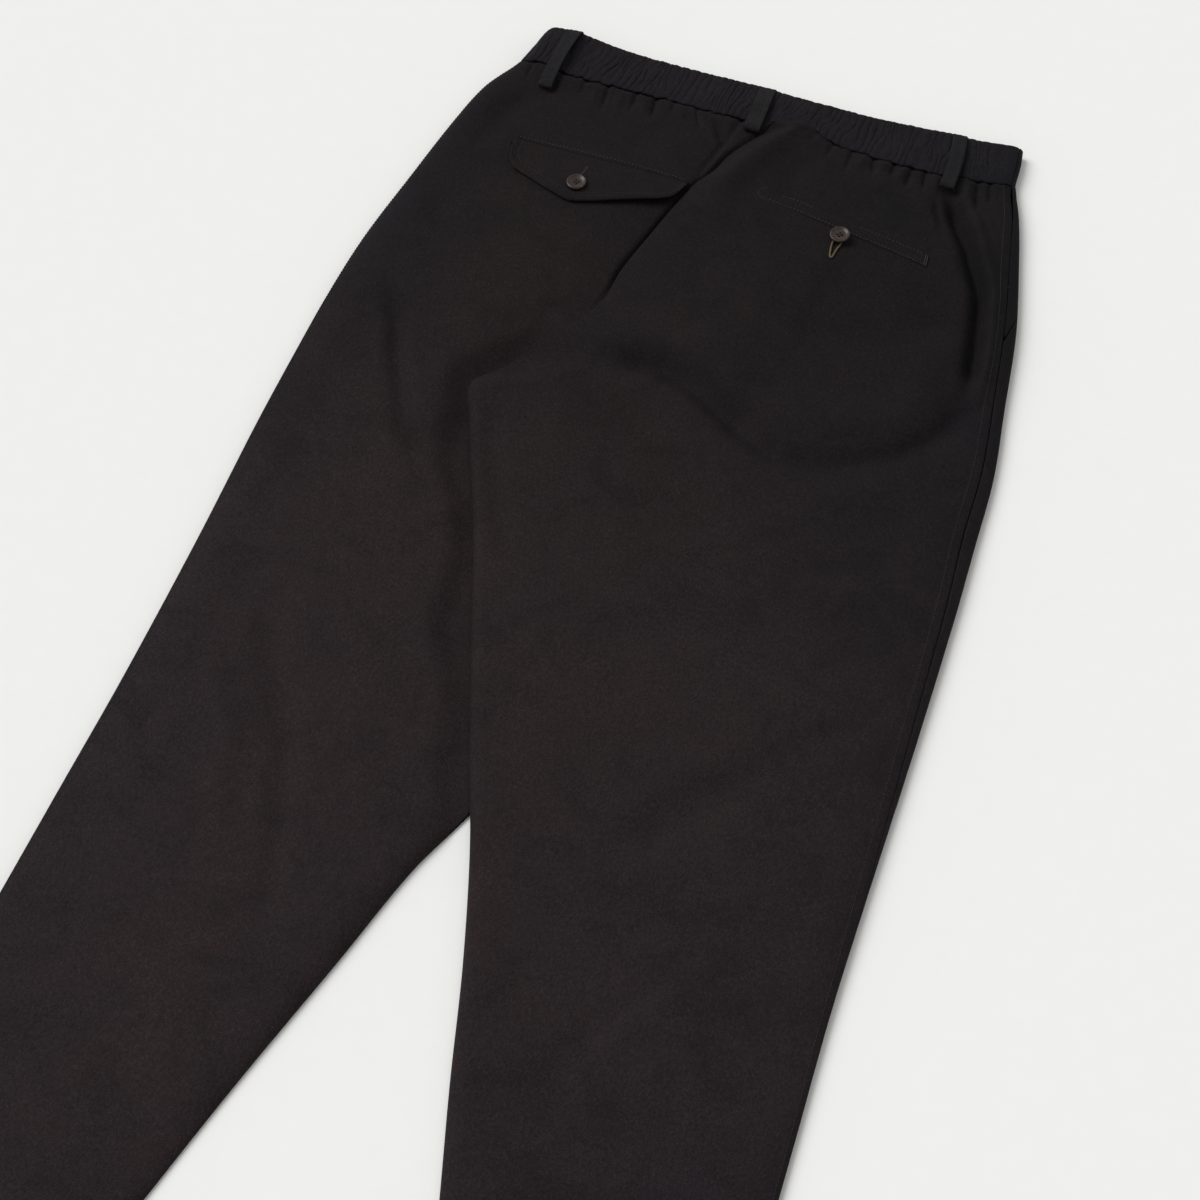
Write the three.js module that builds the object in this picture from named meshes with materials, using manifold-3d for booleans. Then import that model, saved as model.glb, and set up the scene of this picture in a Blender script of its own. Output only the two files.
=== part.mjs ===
// Elastic-waist cotton trousers, laid face down with the right leg over the left.
// Millimetres. X runs along the waistband, +Y towards the waist, +Z up from the surface they lie on.
// "across" is measured from the middle of the back, "down" from a line just above the waistband.
import * as THREE from 'three';
import Module from 'manifold-3d';

// Driving dimensions
const CLOTH = 1.2;
const GAP = 0.3;
const FLOOR = CLOTH / 2;
const LAYER = CLOTH + GAP;
const BAND_FOOT = 48.6;
const BAND_THICK = 3;
const FRONT_BAND_THICK = 2;
const PANEL_TOP = 49.2;
const HEM = 1052;
const HEM_TILT_LEFT = 19;
const HEM_TILT_RIGHT = 27;
const TILT_FROM = 372;
const PRESSED = 3;
const CLIMB = 30;
const OVER_LEFT_LEG = PRESSED + LAYER + 0.2;
const BAND_WAVES = 68;
const BAND_WAVE_RISE = 0.8;
const BUTTON_R = 7.5;
const ORIGIN_ACROSS = 13;
const ORIGIN_DOWN = 544.7;

// Outline and fullness of the whole garment, one row for each section down its length.
// left and right are the outer folds, leftTop and rightTop the height of the upper cloth,
// turn is how far in the outer fold reaches full height, belly the height of its roundest point,
// and seam the turn in degrees at which the right side seam shows above that point.
const SECTIONS = [
  { down: 12, left: -189, right: 194, leftTop: 11.5, rightTop: 11.5, turn: 10, belly: 6, seam: 40 },
  { down: 49, left: -197, right: 201, leftTop: 11.5, rightTop: 11.5, turn: 11, belly: 6, seam: 40 },
  { down: 82, left: -213, right: 212, leftTop: 12, rightTop: 14, turn: 16, belly: 6, seam: 45 },
  { down: 120, left: -222, right: 222, leftTop: 13, rightTop: 15, turn: 21, belly: 5.5, seam: 48 },
  { down: 190, left: -233, right: 238, leftTop: 14, rightTop: 16, turn: 26, belly: 5, seam: 48 },
  { down: 260, left: -243, right: 248, leftTop: 14, rightTop: 15, turn: 28, belly: 4.5, seam: 44 },
  { down: 325, left: -247, right: 257, leftTop: 12, rightTop: 13, turn: 28, belly: 4.5, seam: 45 },
  { down: 385, left: -248, right: 260, leftTop: 10, rightTop: 13.5, turn: 28, belly: 4.5, seam: 46 },
  { down: 450, left: -248, right: 263, leftTop: 10, rightTop: 14, turn: 28, belly: 4.5, seam: 40 },
  { down: 560, left: -246, right: 266, leftTop: 9.5, rightTop: 13.5, turn: 27, belly: 4, seam: 32 },
  { down: 680, left: -246, right: 268, leftTop: 9, rightTop: 12, turn: 26, belly: 4, seam: 15 },
  { down: 770, left: -248, right: 270, leftTop: 9, rightTop: 10, turn: 25, belly: 4, seam: -10 },
  { down: 855, left: -250, right: 274, leftTop: 8.5, rightTop: 9, turn: 22, belly: 3.6, seam: -30 },
  { down: 960, left: -253, right: 279, leftTop: 7.4, rightTop: 7.4, turn: 17, belly: 3, seam: -38 },
  { down: 1052, left: -257, right: 284, leftTop: 6.4, rightTop: 6.4, turn: 12, belly: 2.8, seam: -38 },
];

// Edge of the right back over the left: its seat fold, then its leg's inner fold.
// round is how far in from it the cloth reaches full height.
const OVERLAP = [
  { down: 49, across: 14, round: 8 },
  { down: 73, across: 0, round: 12 },
  { down: 93, across: -10, round: 15 },
  { down: 115, across: -17, round: 17 },
  { down: 133, across: -27, round: 18 },
  { down: 186, across: -40, round: 22 },
  { down: 234, across: -50, round: 26 },
  { down: 261, across: -52, round: 32 },
  { down: 293, across: -64, round: 40 },
  { down: 324, across: -88, round: 42 },
  { down: 345, across: -105, round: 34 },
  { down: 362, across: -117, round: 20 },
  { down: 374, across: -117, round: 16 },
  { down: 390, across: -110, round: 14 },
  { down: 424, across: -96, round: 14 },
  { down: 481, across: -72, round: 14 },
  { down: 577, across: -37, round: 13 },
  { down: 667, across: -4, round: 13 },
  { down: 721, across: 17, round: 13 },
  { down: 805, across: 44, round: 13 },
  { down: 885, across: 66, round: 13 },
  { down: 960, across: 88, round: 13 },
  { down: 1079, across: 122, round: 12 },
];

// Inner edge of the left leg, front and back cloth, from the waist down to the hem.
// Above the crotch the back ends under the right seat and the front at the middle of the body.
const LEFT_INNER = [
  { down: 49, back: 12, front: 0 },
  { down: 66, back: 14, front: 0 },
  { down: 93, back: 10, front: 0 },
  { down: 133, back: 0, front: 0 },
  { down: 186, back: -16, front: 0 },
  { down: 234, back: -26, front: 0 },
  { down: 285, back: -38, front: 0 },
  { down: 312, back: -46, front: 0 },
  { down: 330, back: -34, front: 18 },
  { down: 345, back: 8, front: 42 },
  { down: 370, back: 82, front: 88 },
  { down: 390, back: 112, front: 112 },
  { down: 422, back: 106, front: 106 },
  { down: 502, back: 79, front: 79 },
  { down: 602, back: 44, front: 44 },
  { down: 708, back: 6, front: 6 },
  { down: 752, back: -11, front: -11 },
  { down: 829, back: -31, front: -31 },
  { down: 926, back: -57, front: -57 },
  { down: 1016, back: -79, front: -79 },
  { down: 1071, back: -92, front: -92 },
];

// Folds that lie in the cloth, as lines of across and down. rise is below zero for a trough.
const RIGHT_FOLDS = [
  { rise: -7, half: 12, line: [[-30, 312], [6, 310], [41, 323], [74, 345], [105, 362], [148, 357], [191, 333], [229, 275]] },
  { rise: 5, half: 18, line: [[10, 270], [71, 318], [131, 326], [183, 304], [205, 270]] },
  { rise: 3, half: 16, line: [[40, 352], [90, 388], [150, 386], [205, 358]] },
  { rise: -7, half: 8, line: [[160, 84], [180, 122], [202, 168], [214, 222]] },
  { rise: 4, half: 8, line: [[178, 92], [207, 150], [226, 208], [230, 262]] },
  { rise: 7, half: 13, line: [[26, 60], [14, 84], [0, 118], [-8, 150]] },
  { rise: -3, half: 11, line: [[-92, 392], [-62, 450], [-44, 520], [-22, 590]] },
  { rise: -2.5, half: 12, line: [[12, 436], [60, 428], [105, 432]] },
  { rise: -3, half: 16, line: [[226, 560], [147, 648], [112, 696]] },
];
const LEFT_FOLDS = [
  { rise: 6, half: 6, line: [[-12, 52], [-18, 80], [-25, 118]] },
  { rise: -4, half: 9, line: [[-34, 52], [-40, 74], [-36, 104]] },
  { rise: -3.5, half: 12, line: [[-169, 70], [-186, 98], [-196, 140]] },
  { rise: -3.5, half: 13, line: [[-222, 309], [-187, 348], [-156, 387], [-129, 397]] },
  { rise: -2.5, half: 14, line: [[-221, 584], [-178, 592], [-150, 640], [-127, 676]] },
];

// Bulges of the seat, the middle of each and how far it spreads
const RIGHT_BULGES = [
  { across: 95, down: 215, wide: 90, deep: 80, rise: 9 },
  { across: 30, down: 120, wide: 45, deep: 60, rise: 4 },
];
const LEFT_BULGES = [
  { across: -110, down: 260, wide: 75, deep: 70, rise: 4 },
  { across: -130, down: 480, wide: 70, deep: 90, rise: 2 },
];

// A smooth curve through one column of a table, by the down column
function curve(table, column) {
  const x = table.map((row) => row.down);
  const y = table.map((row) => row[column]);
  const last = x.length - 1;
  const slope = x.map((_, i) => {
    const a = Math.max(i - 1, 0);
    const b = Math.min(i + 1, last);
    return (y[b] - y[a]) / (x[b] - x[a]);
  });
  return (down) => {
    const at = THREE.MathUtils.clamp(down, x[0], x[last]);
    let i = 0;
    while (i < last - 1 && at > x[i + 1]) i += 1;
    const h = x[i + 1] - x[i];
    const t = (at - x[i]) / h;
    const keep = (1 + 2 * t) * (1 - t) * (1 - t) * y[i] + t * t * (3 - 2 * t) * y[i + 1];
    return keep + h * t * (1 - t) * ((1 - t) * slope[i] - t * slope[i + 1]);
  };
}

const leftOf = curve(SECTIONS, 'left');
const rightOf = curve(SECTIONS, 'right');
const leftTopOf = curve(SECTIONS, 'leftTop');
const rightTopOf = curve(SECTIONS, 'rightTop');
const turnOf = curve(SECTIONS, 'turn');
const bellyOf = curve(SECTIONS, 'belly');
const seamOf = curve(SECTIONS, 'seam');
const overlapOf = curve(OVERLAP, 'across');
const overlapRoundOf = curve(OVERLAP, 'round');
const leftBackOf = curve(LEFT_INNER, 'back');
const leftFrontOf = curve(LEFT_INNER, 'front');

// 0 to 1 over a length, with soft ends
const ease = (length, over) => THREE.MathUtils.smoothstep(length, 0, over);
// Height of a quarter round, 0 at its foot and 1 once "over" is passed
const quarter = (length, over) => Math.sqrt(1 - (1 - THREE.MathUtils.clamp(length / over, 0, 1)) ** 2);
const radians = THREE.MathUtils.degToRad;

// Distance from a point to a fold's line, and how far along it from its nearer end
function toLine(line, across, down) {
  let best = { away: Infinity, along: 0 };
  let run = 0;
  for (let i = 1; i < line.length; i += 1) {
    const [ax, ad] = line[i - 1];
    const dx = line[i][0] - ax;
    const dd = line[i][1] - ad;
    const size = Math.hypot(dx, dd);
    const t = THREE.MathUtils.clamp(((across - ax) * dx + (down - ad) * dd) / (size * size), 0, 1);
    const away = Math.hypot(across - ax - t * dx, down - ad - t * dd);
    if (away < best.away) best = { away, along: run + t * size };
    run += size;
  }
  return { away: best.away, end: Math.min(best.along, run - best.along) };
}

function foldRise(folds, across, down) {
  let rise = 0;
  for (const fold of folds) {
    const { away, end } = toLine(fold.line, across, down);
    rise += fold.rise * Math.exp(-((away / fold.half) ** 2)) * (0.35 + 0.65 * ease(end, 25));
  }
  return rise;
}

function bulgeRise(bulges, across, down) {
  let rise = 0;
  for (const bulge of bulges) {
    const far = ((across - bulge.across) / bulge.wide) ** 2 + ((down - bulge.down) / bulge.deep) ** 2;
    rise += bulge.rise * Math.exp(-far);
  }
  return rise;
}

// Small gathers that the elastic makes in the panels, dying out down the cloth
function gatherRise(across, down) {
  const fade = Math.exp(-(down - PANEL_TOP) / 15);
  const wave = Math.sin((2 * Math.PI * across) / 13) + 0.6 * Math.sin((2 * Math.PI * across) / 8.7 + 1);
  return 1.2 * fade * wave;
}

// Height of the flattened waistband's upper half, which stands up at its left end
const bandHeight = (across) => 11.5 + 5 * Math.exp(-(((across + 176) / 20) ** 2));
// Where the upper edge of the waistband lies
const bandTop = (across) => 12 + 7.5 * Math.max(0, 1 - ((across - 20) / 190) ** 2);

// Where the right leg's edge leaves the left leg, which is pressed flat a little further out
const LEAVING = { down: 700, spread: 55, lead: 16 };

// Height of the left back's cloth, before its outer and inner edges turn down
function leftCloth(across, down) {
  const free = leftTopOf(down) + bulgeRise(LEFT_BULGES, across, down) + foldRise(LEFT_FOLDS, across, down);
  const open = THREE.MathUtils.lerp(bandHeight(across), free, ease(down - PANEL_TOP, 26));
  const lead = 3 + LEAVING.lead * Math.exp(-(((down - LEAVING.down) / LEAVING.spread) ** 2));
  const covered = ease(across - overlapOf(down) + 31 + lead, 31) * ease(down - 296, 46);
  const lowered = THREE.MathUtils.lerp(open, 9, 0.8 * ease(across - overlapOf(down) + 40, 60) * (1 - ease(down - 260, 60)));
  return THREE.MathUtils.lerp(lowered, PRESSED, covered) + gatherRise(across, down) * (1 - covered);
}

// Height of the right back's cloth, before its edges turn down
function rightCloth(across, down) {
  const free = rightTopOf(down) + bulgeRise(RIGHT_BULGES, across, down) + foldRise(RIGHT_FOLDS, across, down);
  return THREE.MathUtils.lerp(bandHeight(across), free, ease(down - PANEL_TOP, 18)) + gatherRise(across, down);
}

// Height of the right front's cloth, which climbs over the left leg
function rightFrontCloth(across, down) {
  const over = ease(leftFrontOf(down) + 2 + CLIMB - across, CLIMB) * ease(down - 285, 25);
  return THREE.MathUtils.lerp(FLOOR, OVER_LEFT_LEG, over);
}

const place = (across, down, height) => new THREE.Vector3(across, -down, height);

// A point on the round outer fold: turn in degrees runs from -90 below to 90 above.
// side is -1 for the left fold and 1 for the right one.
function foldPoint(side, down, turn, cloth) {
  const swing = radians(turn);
  const reach = (turn > 0 ? turnOf(down) : 7) * (1 - Math.cos(swing));
  const across = side < 0 ? leftOf(down) + reach : rightOf(down) - reach;
  const belly = bellyOf(down);
  const rest = turn > 0 ? cloth(across, down) - belly : belly - FLOOR;
  return place(across, down, belly + rest * Math.sin(swing));
}

// How far along a row each of its points lies, from 0 to 1
function fractions(row) {
  const runs = [0];
  for (let i = 1; i < row.length; i += 1) runs.push(runs[i - 1] + row[i].distanceTo(row[i - 1]));
  return runs.map((run) => run / runs.at(-1));
}

// Two rows with any number of points each are joined into one strip of triangles.
// Rows with the same number are paired point by point, others by how far along they lie.
function joinRows(first, second, points) {
  const paired = first.length === second.length;
  const along = (row) => (paired ? row.map((_, i) => i) : fractions(row.map((index) => points[index])));
  const firstAlong = along(first);
  const secondAlong = along(second);
  const faces = [];
  let i = 0;
  let j = 0;
  while (i < first.length - 1 || j < second.length - 1) {
    const more = i < first.length - 1;
    if (j === second.length - 1 || (more && firstAlong[i + 1] <= secondAlong[j + 1] + 1e-9)) {
      faces.push(first[i], second[j], first[i + 1]);
      i += 1;
    } else {
      faces.push(first[i], second[j], second[j + 1]);
      j += 1;
    }
  }
  return faces;
}

function meshOf(points, faces) {
  const geometry = new THREE.BufferGeometry();
  geometry.setAttribute('position', new THREE.Float32BufferAttribute(points.flatMap((p) => p.toArray()), 3));
  geometry.setIndex(faces);
  geometry.computeVertexNormals();
  return geometry;
}

// A wall of cloth from rows of points along its middle. The rows run down the garment and the
// points in a row across it, left to right. raise lifts the outer face; plain walls leave it out.
function clothWall(rows, thick = CLOTH, raise = () => 0, innerEvery = 1) {
  const points = rows.flat();
  const indices = [];
  let count = 0;
  for (const row of rows) indices.push(row.map(() => count++));
  const faces = [];
  for (let r = 1; r < rows.length; r += 1) faces.push(...joinRows(indices[r - 1], indices[r], points));
  const normals = meshOf(points, faces).getAttribute('normal');
  const normalAt = (index) => new THREE.Vector3().fromBufferAttribute(normals, index);
  const wall = [];
  const add = (point) => wall.push(point) - 1;
  const outer = rows.map((row, r) => row.map((point, c) => {
    const lift = thick / 2 + raise(r / (rows.length - 1), c / (row.length - 1));
    return add(point.clone().addScaledVector(normalAt(indices[r][c]), lift));
  }));
  const innerRows = innerEvery === 1 ? rows.map((_, r) => r) : [0, rows.length - 1];
  const inner = innerRows.map((r) => rows[r]
    .map((point, c) => ({ point, c }))
    .filter(({ c }) => c % innerEvery === 0 || c === rows[r].length - 1)
    .map(({ point, c }) => add(point.clone().addScaledVector(normalAt(indices[r][c]), -thick / 2))));
  const sides = [];
  for (let r = 1; r < outer.length; r += 1) sides.push(...joinRows(outer[r - 1], outer[r], wall));
  for (let r = 1; r < inner.length; r += 1) sides.push(...joinRows(inner[r - 1], inner[r], wall).reverse());
  const end = (grid, r) => grid.map((row) => row.at(r));
  sides.push(...joinRows(inner[0], outer[0], wall));
  sides.push(...joinRows(outer.at(-1), inner.at(-1), wall));
  sides.push(...joinRows(end(outer, 0), end(inner, 0), wall));
  sides.push(...joinRows(end(inner, -1), end(outer, -1), wall));
  return meshOf(wall, sides).toNonIndexed();
}

// Rows: close together under the waistband and where the folds lie, wider down the legs
const GATHER_ROWS = [PANEL_TOP, 54, 62, 74];
const SEAT_ROWS = [88, 103, 120, 138, 158, 180, 203, 227, 250, 272, 293, 312, 330, 345, 358, 372];
const LEG_ROWS = [390, 410, 435, 468, 508, 555, 610, 655, 682, 708, 735, 770, 830, 895, 965, 1015, HEM];
const ALL_ROWS = [...GATHER_ROWS, ...SEAT_ROWS, ...LEG_ROWS];

// How far the inner end of a row hangs below its outer end, as a leg's hem is square to the leg
const tilt = (down, hemTilt) => hemTilt * Math.max(0, (down - TILT_FROM) / (HEM - TILT_FROM));
// Even steps from 0 to 1
const steps = (count) => Array.from({ length: count + 1 }, (_, i) => i / count);

const SEAM_TURN_LEFT = -50;
const SEAM_GAP = 0.65;
const INNER_STEPS = [26, 17, 10, 5, 2, 0];
// Places before the right leg's edge where the left back is pressed down to lie under it
const PRESS_STEPS = [34, 22, 11, 2];
const GATHER_COLUMNS = 36;

// Turn in degrees that makes one seam's gap on the round outer fold
function seamGapTurn(down, turn, cloth, side) {
  const near = foldPoint(side, down, turn - 1, cloth);
  return (2 * SEAM_GAP) / near.distanceTo(foldPoint(side, down, turn + 1, cloth));
}

// Points across between two ends that pass through the marks, kept in order
function markedAcross(start, marks, stop, least) {
  const line = [start];
  marks.forEach((mark, i) => {
    const low = line.at(-1) + least;
    line.push(Math.min(Math.max(mark, low), stop - (marks.length - i) * least));
  });
  line.push(stop);
  return line;
}

// Left back: from the side seam under the left fold, over the top, to the inner edge
function backLeftRow(down) {
  const gathered = down <= GATHER_ROWS.at(-1);
  const first = SEAM_TURN_LEFT + seamGapTurn(down, SEAM_TURN_LEFT, leftCloth, -1);
  const turns = [first, -20, 5, 30, 60];
  const row = turns.map((turn) => foldPoint(-1, down, turn, leftCloth));
  const start = leftOf(down) + turnOf(down);
  const innerDown = down + tilt(down, HEM_TILT_LEFT);
  const inner = leftBackOf(innerDown);
  const closes = ease(down - 330, 60);
  const stop = inner - INNER_STEPS[0];
  const edge = overlapOf(down);
  const free = Math.min(edge - PRESS_STEPS[0], stop - 2 * PRESS_STEPS.length);
  const even = steps(5).slice(1).map((t) => THREE.MathUtils.lerp(start, free, t));
  const marks = [...even, ...PRESS_STEPS.slice(1).map((inset) => edge - inset)];
  const line = gathered
    ? steps(GATHER_COLUMNS).map((t) => THREE.MathUtils.lerp(start, stop, t))
    : markedAcross(start, marks, stop, 2);
  for (const across of line) {
    const at = THREE.MathUtils.lerp(down, innerDown, (across - start) / (stop - start));
    row.push(place(across, at, leftCloth(across, at)));
  }
  for (const inset of INNER_STEPS.slice(1)) {
    const across = inner - inset;
    const full = leftCloth(across, innerDown);
    const shut = THREE.MathUtils.lerp(FLOOR + LAYER, full, quarter(inset, 20));
    row.push(place(across, innerDown, THREE.MathUtils.lerp(full, shut, closes)));
  }
  return row;
}

// Right back: from the overlap's edge, over the top, to the side seam near the right fold
const REST_CLEAR = 0.2;
function rightBackHeight(across, down) {
  const edge = overlapOf(down);
  const onLeg = ease(down - 345, 27);
  const below = Math.max(...[0, 4, 9].map((under) => leftCloth(edge + under, down)));
  const rest = THREE.MathUtils.lerp(below, rightFrontCloth(edge, down), onLeg) + LAYER + REST_CLEAR;
  const full = rightCloth(across, down);
  return THREE.MathUtils.lerp(rest, Math.max(full, rest), quarter(across - edge, overlapRoundOf(down)));
}

function backRightRow(down) {
  const gathered = down <= GATHER_ROWS.at(-1);
  const innerDown = down + tilt(down, HEM_TILT_RIGHT);
  const inner = overlapOf(innerDown);
  const row = [...INNER_STEPS].reverse().map((inset) => {
    const across = inner + inset;
    return place(across, innerDown, rightBackHeight(across, innerDown));
  });
  const start = inner + INNER_STEPS[0];
  const stop = rightOf(down) - turnOf(down);
  for (const t of steps(gathered ? GATHER_COLUMNS : 10).slice(1)) {
    const across = THREE.MathUtils.lerp(start, stop, t);
    const at = THREE.MathUtils.lerp(innerDown, down, t);
    row.push(place(across, at, rightBackHeight(across, at)));
  }
  const seam = seamOf(down) + seamGapTurn(down, seamOf(down), rightCloth, 1);
  for (const t of [0.25, 0.5, 0.75, 1]) {
    row.push(foldPoint(1, down, THREE.MathUtils.lerp(90, seam, t), rightCloth));
  }
  return row;
}

// Slanted front pocket mouth: how far in from the side seam the front is cut back
const MOUTH_FOOT = 206;
const MOUTH_IN = 52;
const MOUTH_GAP = 1;
const MOUTH_STRIP = 8;
const mouthAt = (down) => Math.max(0, (MOUTH_IN * (MOUTH_FOOT - down)) / (MOUTH_FOOT - PANEL_TOP));

// The cloth from a side seam round the fold and in along the floor, by distance from the seam
function sideWalk(side, down, seam) {
  const turns = steps(20).map((t) => THREE.MathUtils.lerp(seam, -90, t));
  const cloth = side < 0 ? leftCloth : rightCloth;
  const line = turns.map((turn) => foldPoint(side, down, turn, cloth));
  const runs = [0];
  for (let i = 1; i < line.length; i += 1) runs.push(runs[i - 1] + line[i].distanceTo(line[i - 1]));
  const total = runs.at(-1);
  const at = (distance) => {
    if (distance >= total) return place(line.at(-1).x - side * (distance - total), down, FLOOR);
    let i = 1;
    while (runs[i] < distance) i += 1;
    return line[i - 1].clone().lerp(line[i], (distance - runs[i - 1]) / (runs[i] - runs[i - 1]));
  };
  return { at, total };
}

const WALK_STEPS = 6;
const FLAT_START = 30;

// Points along a side from one distance to another
function sidePoints(walk, from, to, count) {
  return steps(count).map((t) => walk.at(THREE.MathUtils.lerp(from, to, t)));
}

// Right front: under the right leg and half the body, from its inner end to the pocket mouth or seam
function frontRightRow(down) {
  const innerDown = down + tilt(down, HEM_TILT_RIGHT);
  const onLeg = ease(down - 345, 27);
  const middle = GAP / 2;
  const inner = THREE.MathUtils.lerp(middle, overlapOf(innerDown), onLeg);
  const foot = leftFrontOf(innerDown) + 2;
  const walk = sideWalk(1, down, seamOf(down));
  const from = mouthAt(down) + (mouthAt(down) > 0 ? MOUTH_GAP : 0);
  const row = [];
  const turned = Math.max(from + MOUTH_STRIP, walk.total);
  const stop = walk.at(turned + FLAT_START).x;
  const marks = [foot, foot + 8, foot + 15, foot + 22, foot + CLIMB];
  for (const across of [...markedAcross(inner, marks, stop - FLAT_START, 2), stop]) {
    const at = THREE.MathUtils.lerp(innerDown, down, (across - inner) / (stop - inner));
    row.push(place(across, at, rightFrontCloth(across, at)));
  }
  row.push(...sidePoints(walk, from, turned, WALK_STEPS).reverse());
  return row;
}

// Left front: flat on the floor, from the side seam or pocket mouth to its inner end
function frontLeftRow(down) {
  const innerDown = down + tilt(down, HEM_TILT_LEFT);
  const walk = sideWalk(-1, down, SEAM_TURN_LEFT);
  const from = mouthAt(down) + (mouthAt(down) > 0 ? MOUTH_GAP : 0);
  const reach = Math.max(from, walk.total) + 8;
  const row = sidePoints(walk, from, reach, 3);
  const start = row.at(-1).x;
  const stop = leftFrontOf(innerDown) - (down < TILT_FROM ? GAP / 2 : 0);
  for (const t of [0.5, 1]) {
    row.push(place(THREE.MathUtils.lerp(start, stop, t), THREE.MathUtils.lerp(down, innerDown, t), FLOOR));
  }
  return row;
}

// Pocket facing: the cloth seen between the pocket mouth and the side seam
const FACING_ROWS = ALL_ROWS.filter((down) => down < MOUTH_FOOT);
function facingRow(side, down) {
  const walk = sideWalk(side, down, side < 0 ? SEAM_TURN_LEFT : seamOf(down));
  const row = sidePoints(walk, 0, mouthAt(down), 5);
  return side < 0 ? row : row.reverse();
}

// The two lower faces look down, so their rows are turned over to face out
const turnedOver = (rows) => rows.map((row) => [...row].reverse());

// The band sinks towards its free upper edge, but not at its round ends
const BAND_SINK = 3;
function bandSink(across, depth) {
  return BAND_SINK * (1 - depth) * ease(across + 172, 40) * ease(172 - across, 40);
}

// Half of the waistband ring, as a line of across and height at one depth down
function bandLine(down, depth, fromTurn, toTurn, count) {
  const line = [];
  for (const turn of steps(10).map((t) => THREE.MathUtils.lerp(fromTurn, 90, t))) {
    line.push(bandPoint(-1, down, turn));
  }
  const start = leftOf(down) + turnOf(down);
  const stop = rightOf(down) - turnOf(down);
  for (const t of steps(40).slice(1)) {
    const across = THREE.MathUtils.lerp(start, stop, t);
    line.push(place(across, down, bandHeight(across) - bandSink(across, depth)));
  }
  for (const turn of steps(6).slice(1).map((t) => THREE.MathUtils.lerp(90, toTurn, t))) {
    line.push(bandPoint(1, down, turn));
  }
  return evenly(line, count);
}

// A point on the waistband's round end
function bandPoint(side, down, turn, foot = BAND_THICK / 2) {
  const swing = radians(turn);
  const reach = (turn > 0 ? turnOf(down) : 8) * (1 - Math.cos(swing));
  const across = side < 0 ? leftOf(down) + reach : rightOf(down) - reach;
  const belly = bellyOf(down);
  const rest = turn > 0 ? bandHeight(across) - belly : belly - foot;
  return place(across, down, belly + rest * Math.sin(swing));
}

// The same line in equal steps
function evenly(line, count) {
  const path = new THREE.CatmullRomCurve3(line, false, 'centripetal');
  path.arcLengthDivisions = 600;
  return path.getSpacedPoints(count);
}

const BAND_DEPTHS = [0, 0.33, 0.67, 1];
function bandRow(depth, line) {
  return line.map((point) => {
    const down = THREE.MathUtils.lerp(bandTop(point.x), BAND_FOOT, depth);
    return place(point.x, down, point.z);
  });
}

// Ruching: one wave for each gather of the cloth over the elastic, smooth at the side seams
function ruche(depth, along) {
  const fade = ease(along, 0.05) * ease(1 - along, 0.04);
  const slant = 0.5 * Math.sin(9 * along + 3 * depth);
  const edge = 0.6 + 0.4 * Math.sin(Math.PI * depth);
  return BAND_WAVE_RISE * edge * fade * Math.sin(2 * Math.PI * (BAND_WAVES * along + slant));
}

const SEAM_TURN_BAND = -60;
const SEAM_TURN_GAP = 5;
function waistbandBack() {
  const rows = BAND_DEPTHS.map((depth) => {
    const down = THREE.MathUtils.lerp(12, BAND_FOOT, depth);
    return bandRow(depth, bandLine(down, depth, SEAM_TURN_BAND, seamOf(down) + SEAM_TURN_GAP, BAND_WAVES * 4));
  });
  return clothWall(rows, BAND_THICK, ruche, 4);
}

// Smooth front half: round the right end, along the floor and up to the left seam
function waistbandFront() {
  const rows = [0, 1].map((depth) => {
    const down = THREE.MathUtils.lerp(12, BAND_FOOT, depth);
    const line = [];
    for (const t of steps(9)) {
      line.push(bandPoint(1, down, THREE.MathUtils.lerp(seamOf(down), -90, t), FRONT_BAND_THICK / 2));
    }
    for (const t of [0.25, 0.5, 0.75]) {
      line.push(place(THREE.MathUtils.lerp(line[9].x, leftOf(down) + 8, t), down, FRONT_BAND_THICK / 2));
    }
    for (const turn of [-90, -80, -71, SEAM_TURN_BAND - 6]) {
      line.push(bandPoint(-1, down, turn, FRONT_BAND_THICK / 2));
    }
    return bandRow(depth, line);
  });
  return clothWall(rows, FRONT_BAND_THICK);
}

// Height of a wall's outer face under a point, taken from its own triangles
function surfaceOf(geometry) {
  const position = geometry.getAttribute('position');
  const corner = (i) => new THREE.Vector3().fromBufferAttribute(position, i);
  const triangles = [];
  for (let i = 0; i < position.count; i += 3) {
    const triangle = new THREE.Triangle(corner(i), corner(i + 1), corner(i + 2));
    if (triangle.getNormal(new THREE.Vector3()).z > 0.05) triangles.push(triangle);
  }
  const ray = new THREE.Ray(new THREE.Vector3(), new THREE.Vector3(0, 0, -1));
  const hit = new THREE.Vector3();
  return (across, down) => {
    ray.origin.set(across, -down, 100);
    let top = -Infinity;
    for (const { a, b, c } of triangles) {
      if (ray.intersectTriangle(a, b, c, false, hit)) top = Math.max(top, hit.z);
    }
    return top;
  };
}

// Highest of the surface's points around a place, so that a piece clears it between its own points
function clearOf(surface, across, down, around) {
  const spots = [[0, 0], [around, 0], [-around, 0], [0, around], [0, -around]];
  return Math.max(...spots.map(([a, d]) => surface(across + a, down + d)));
}

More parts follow.
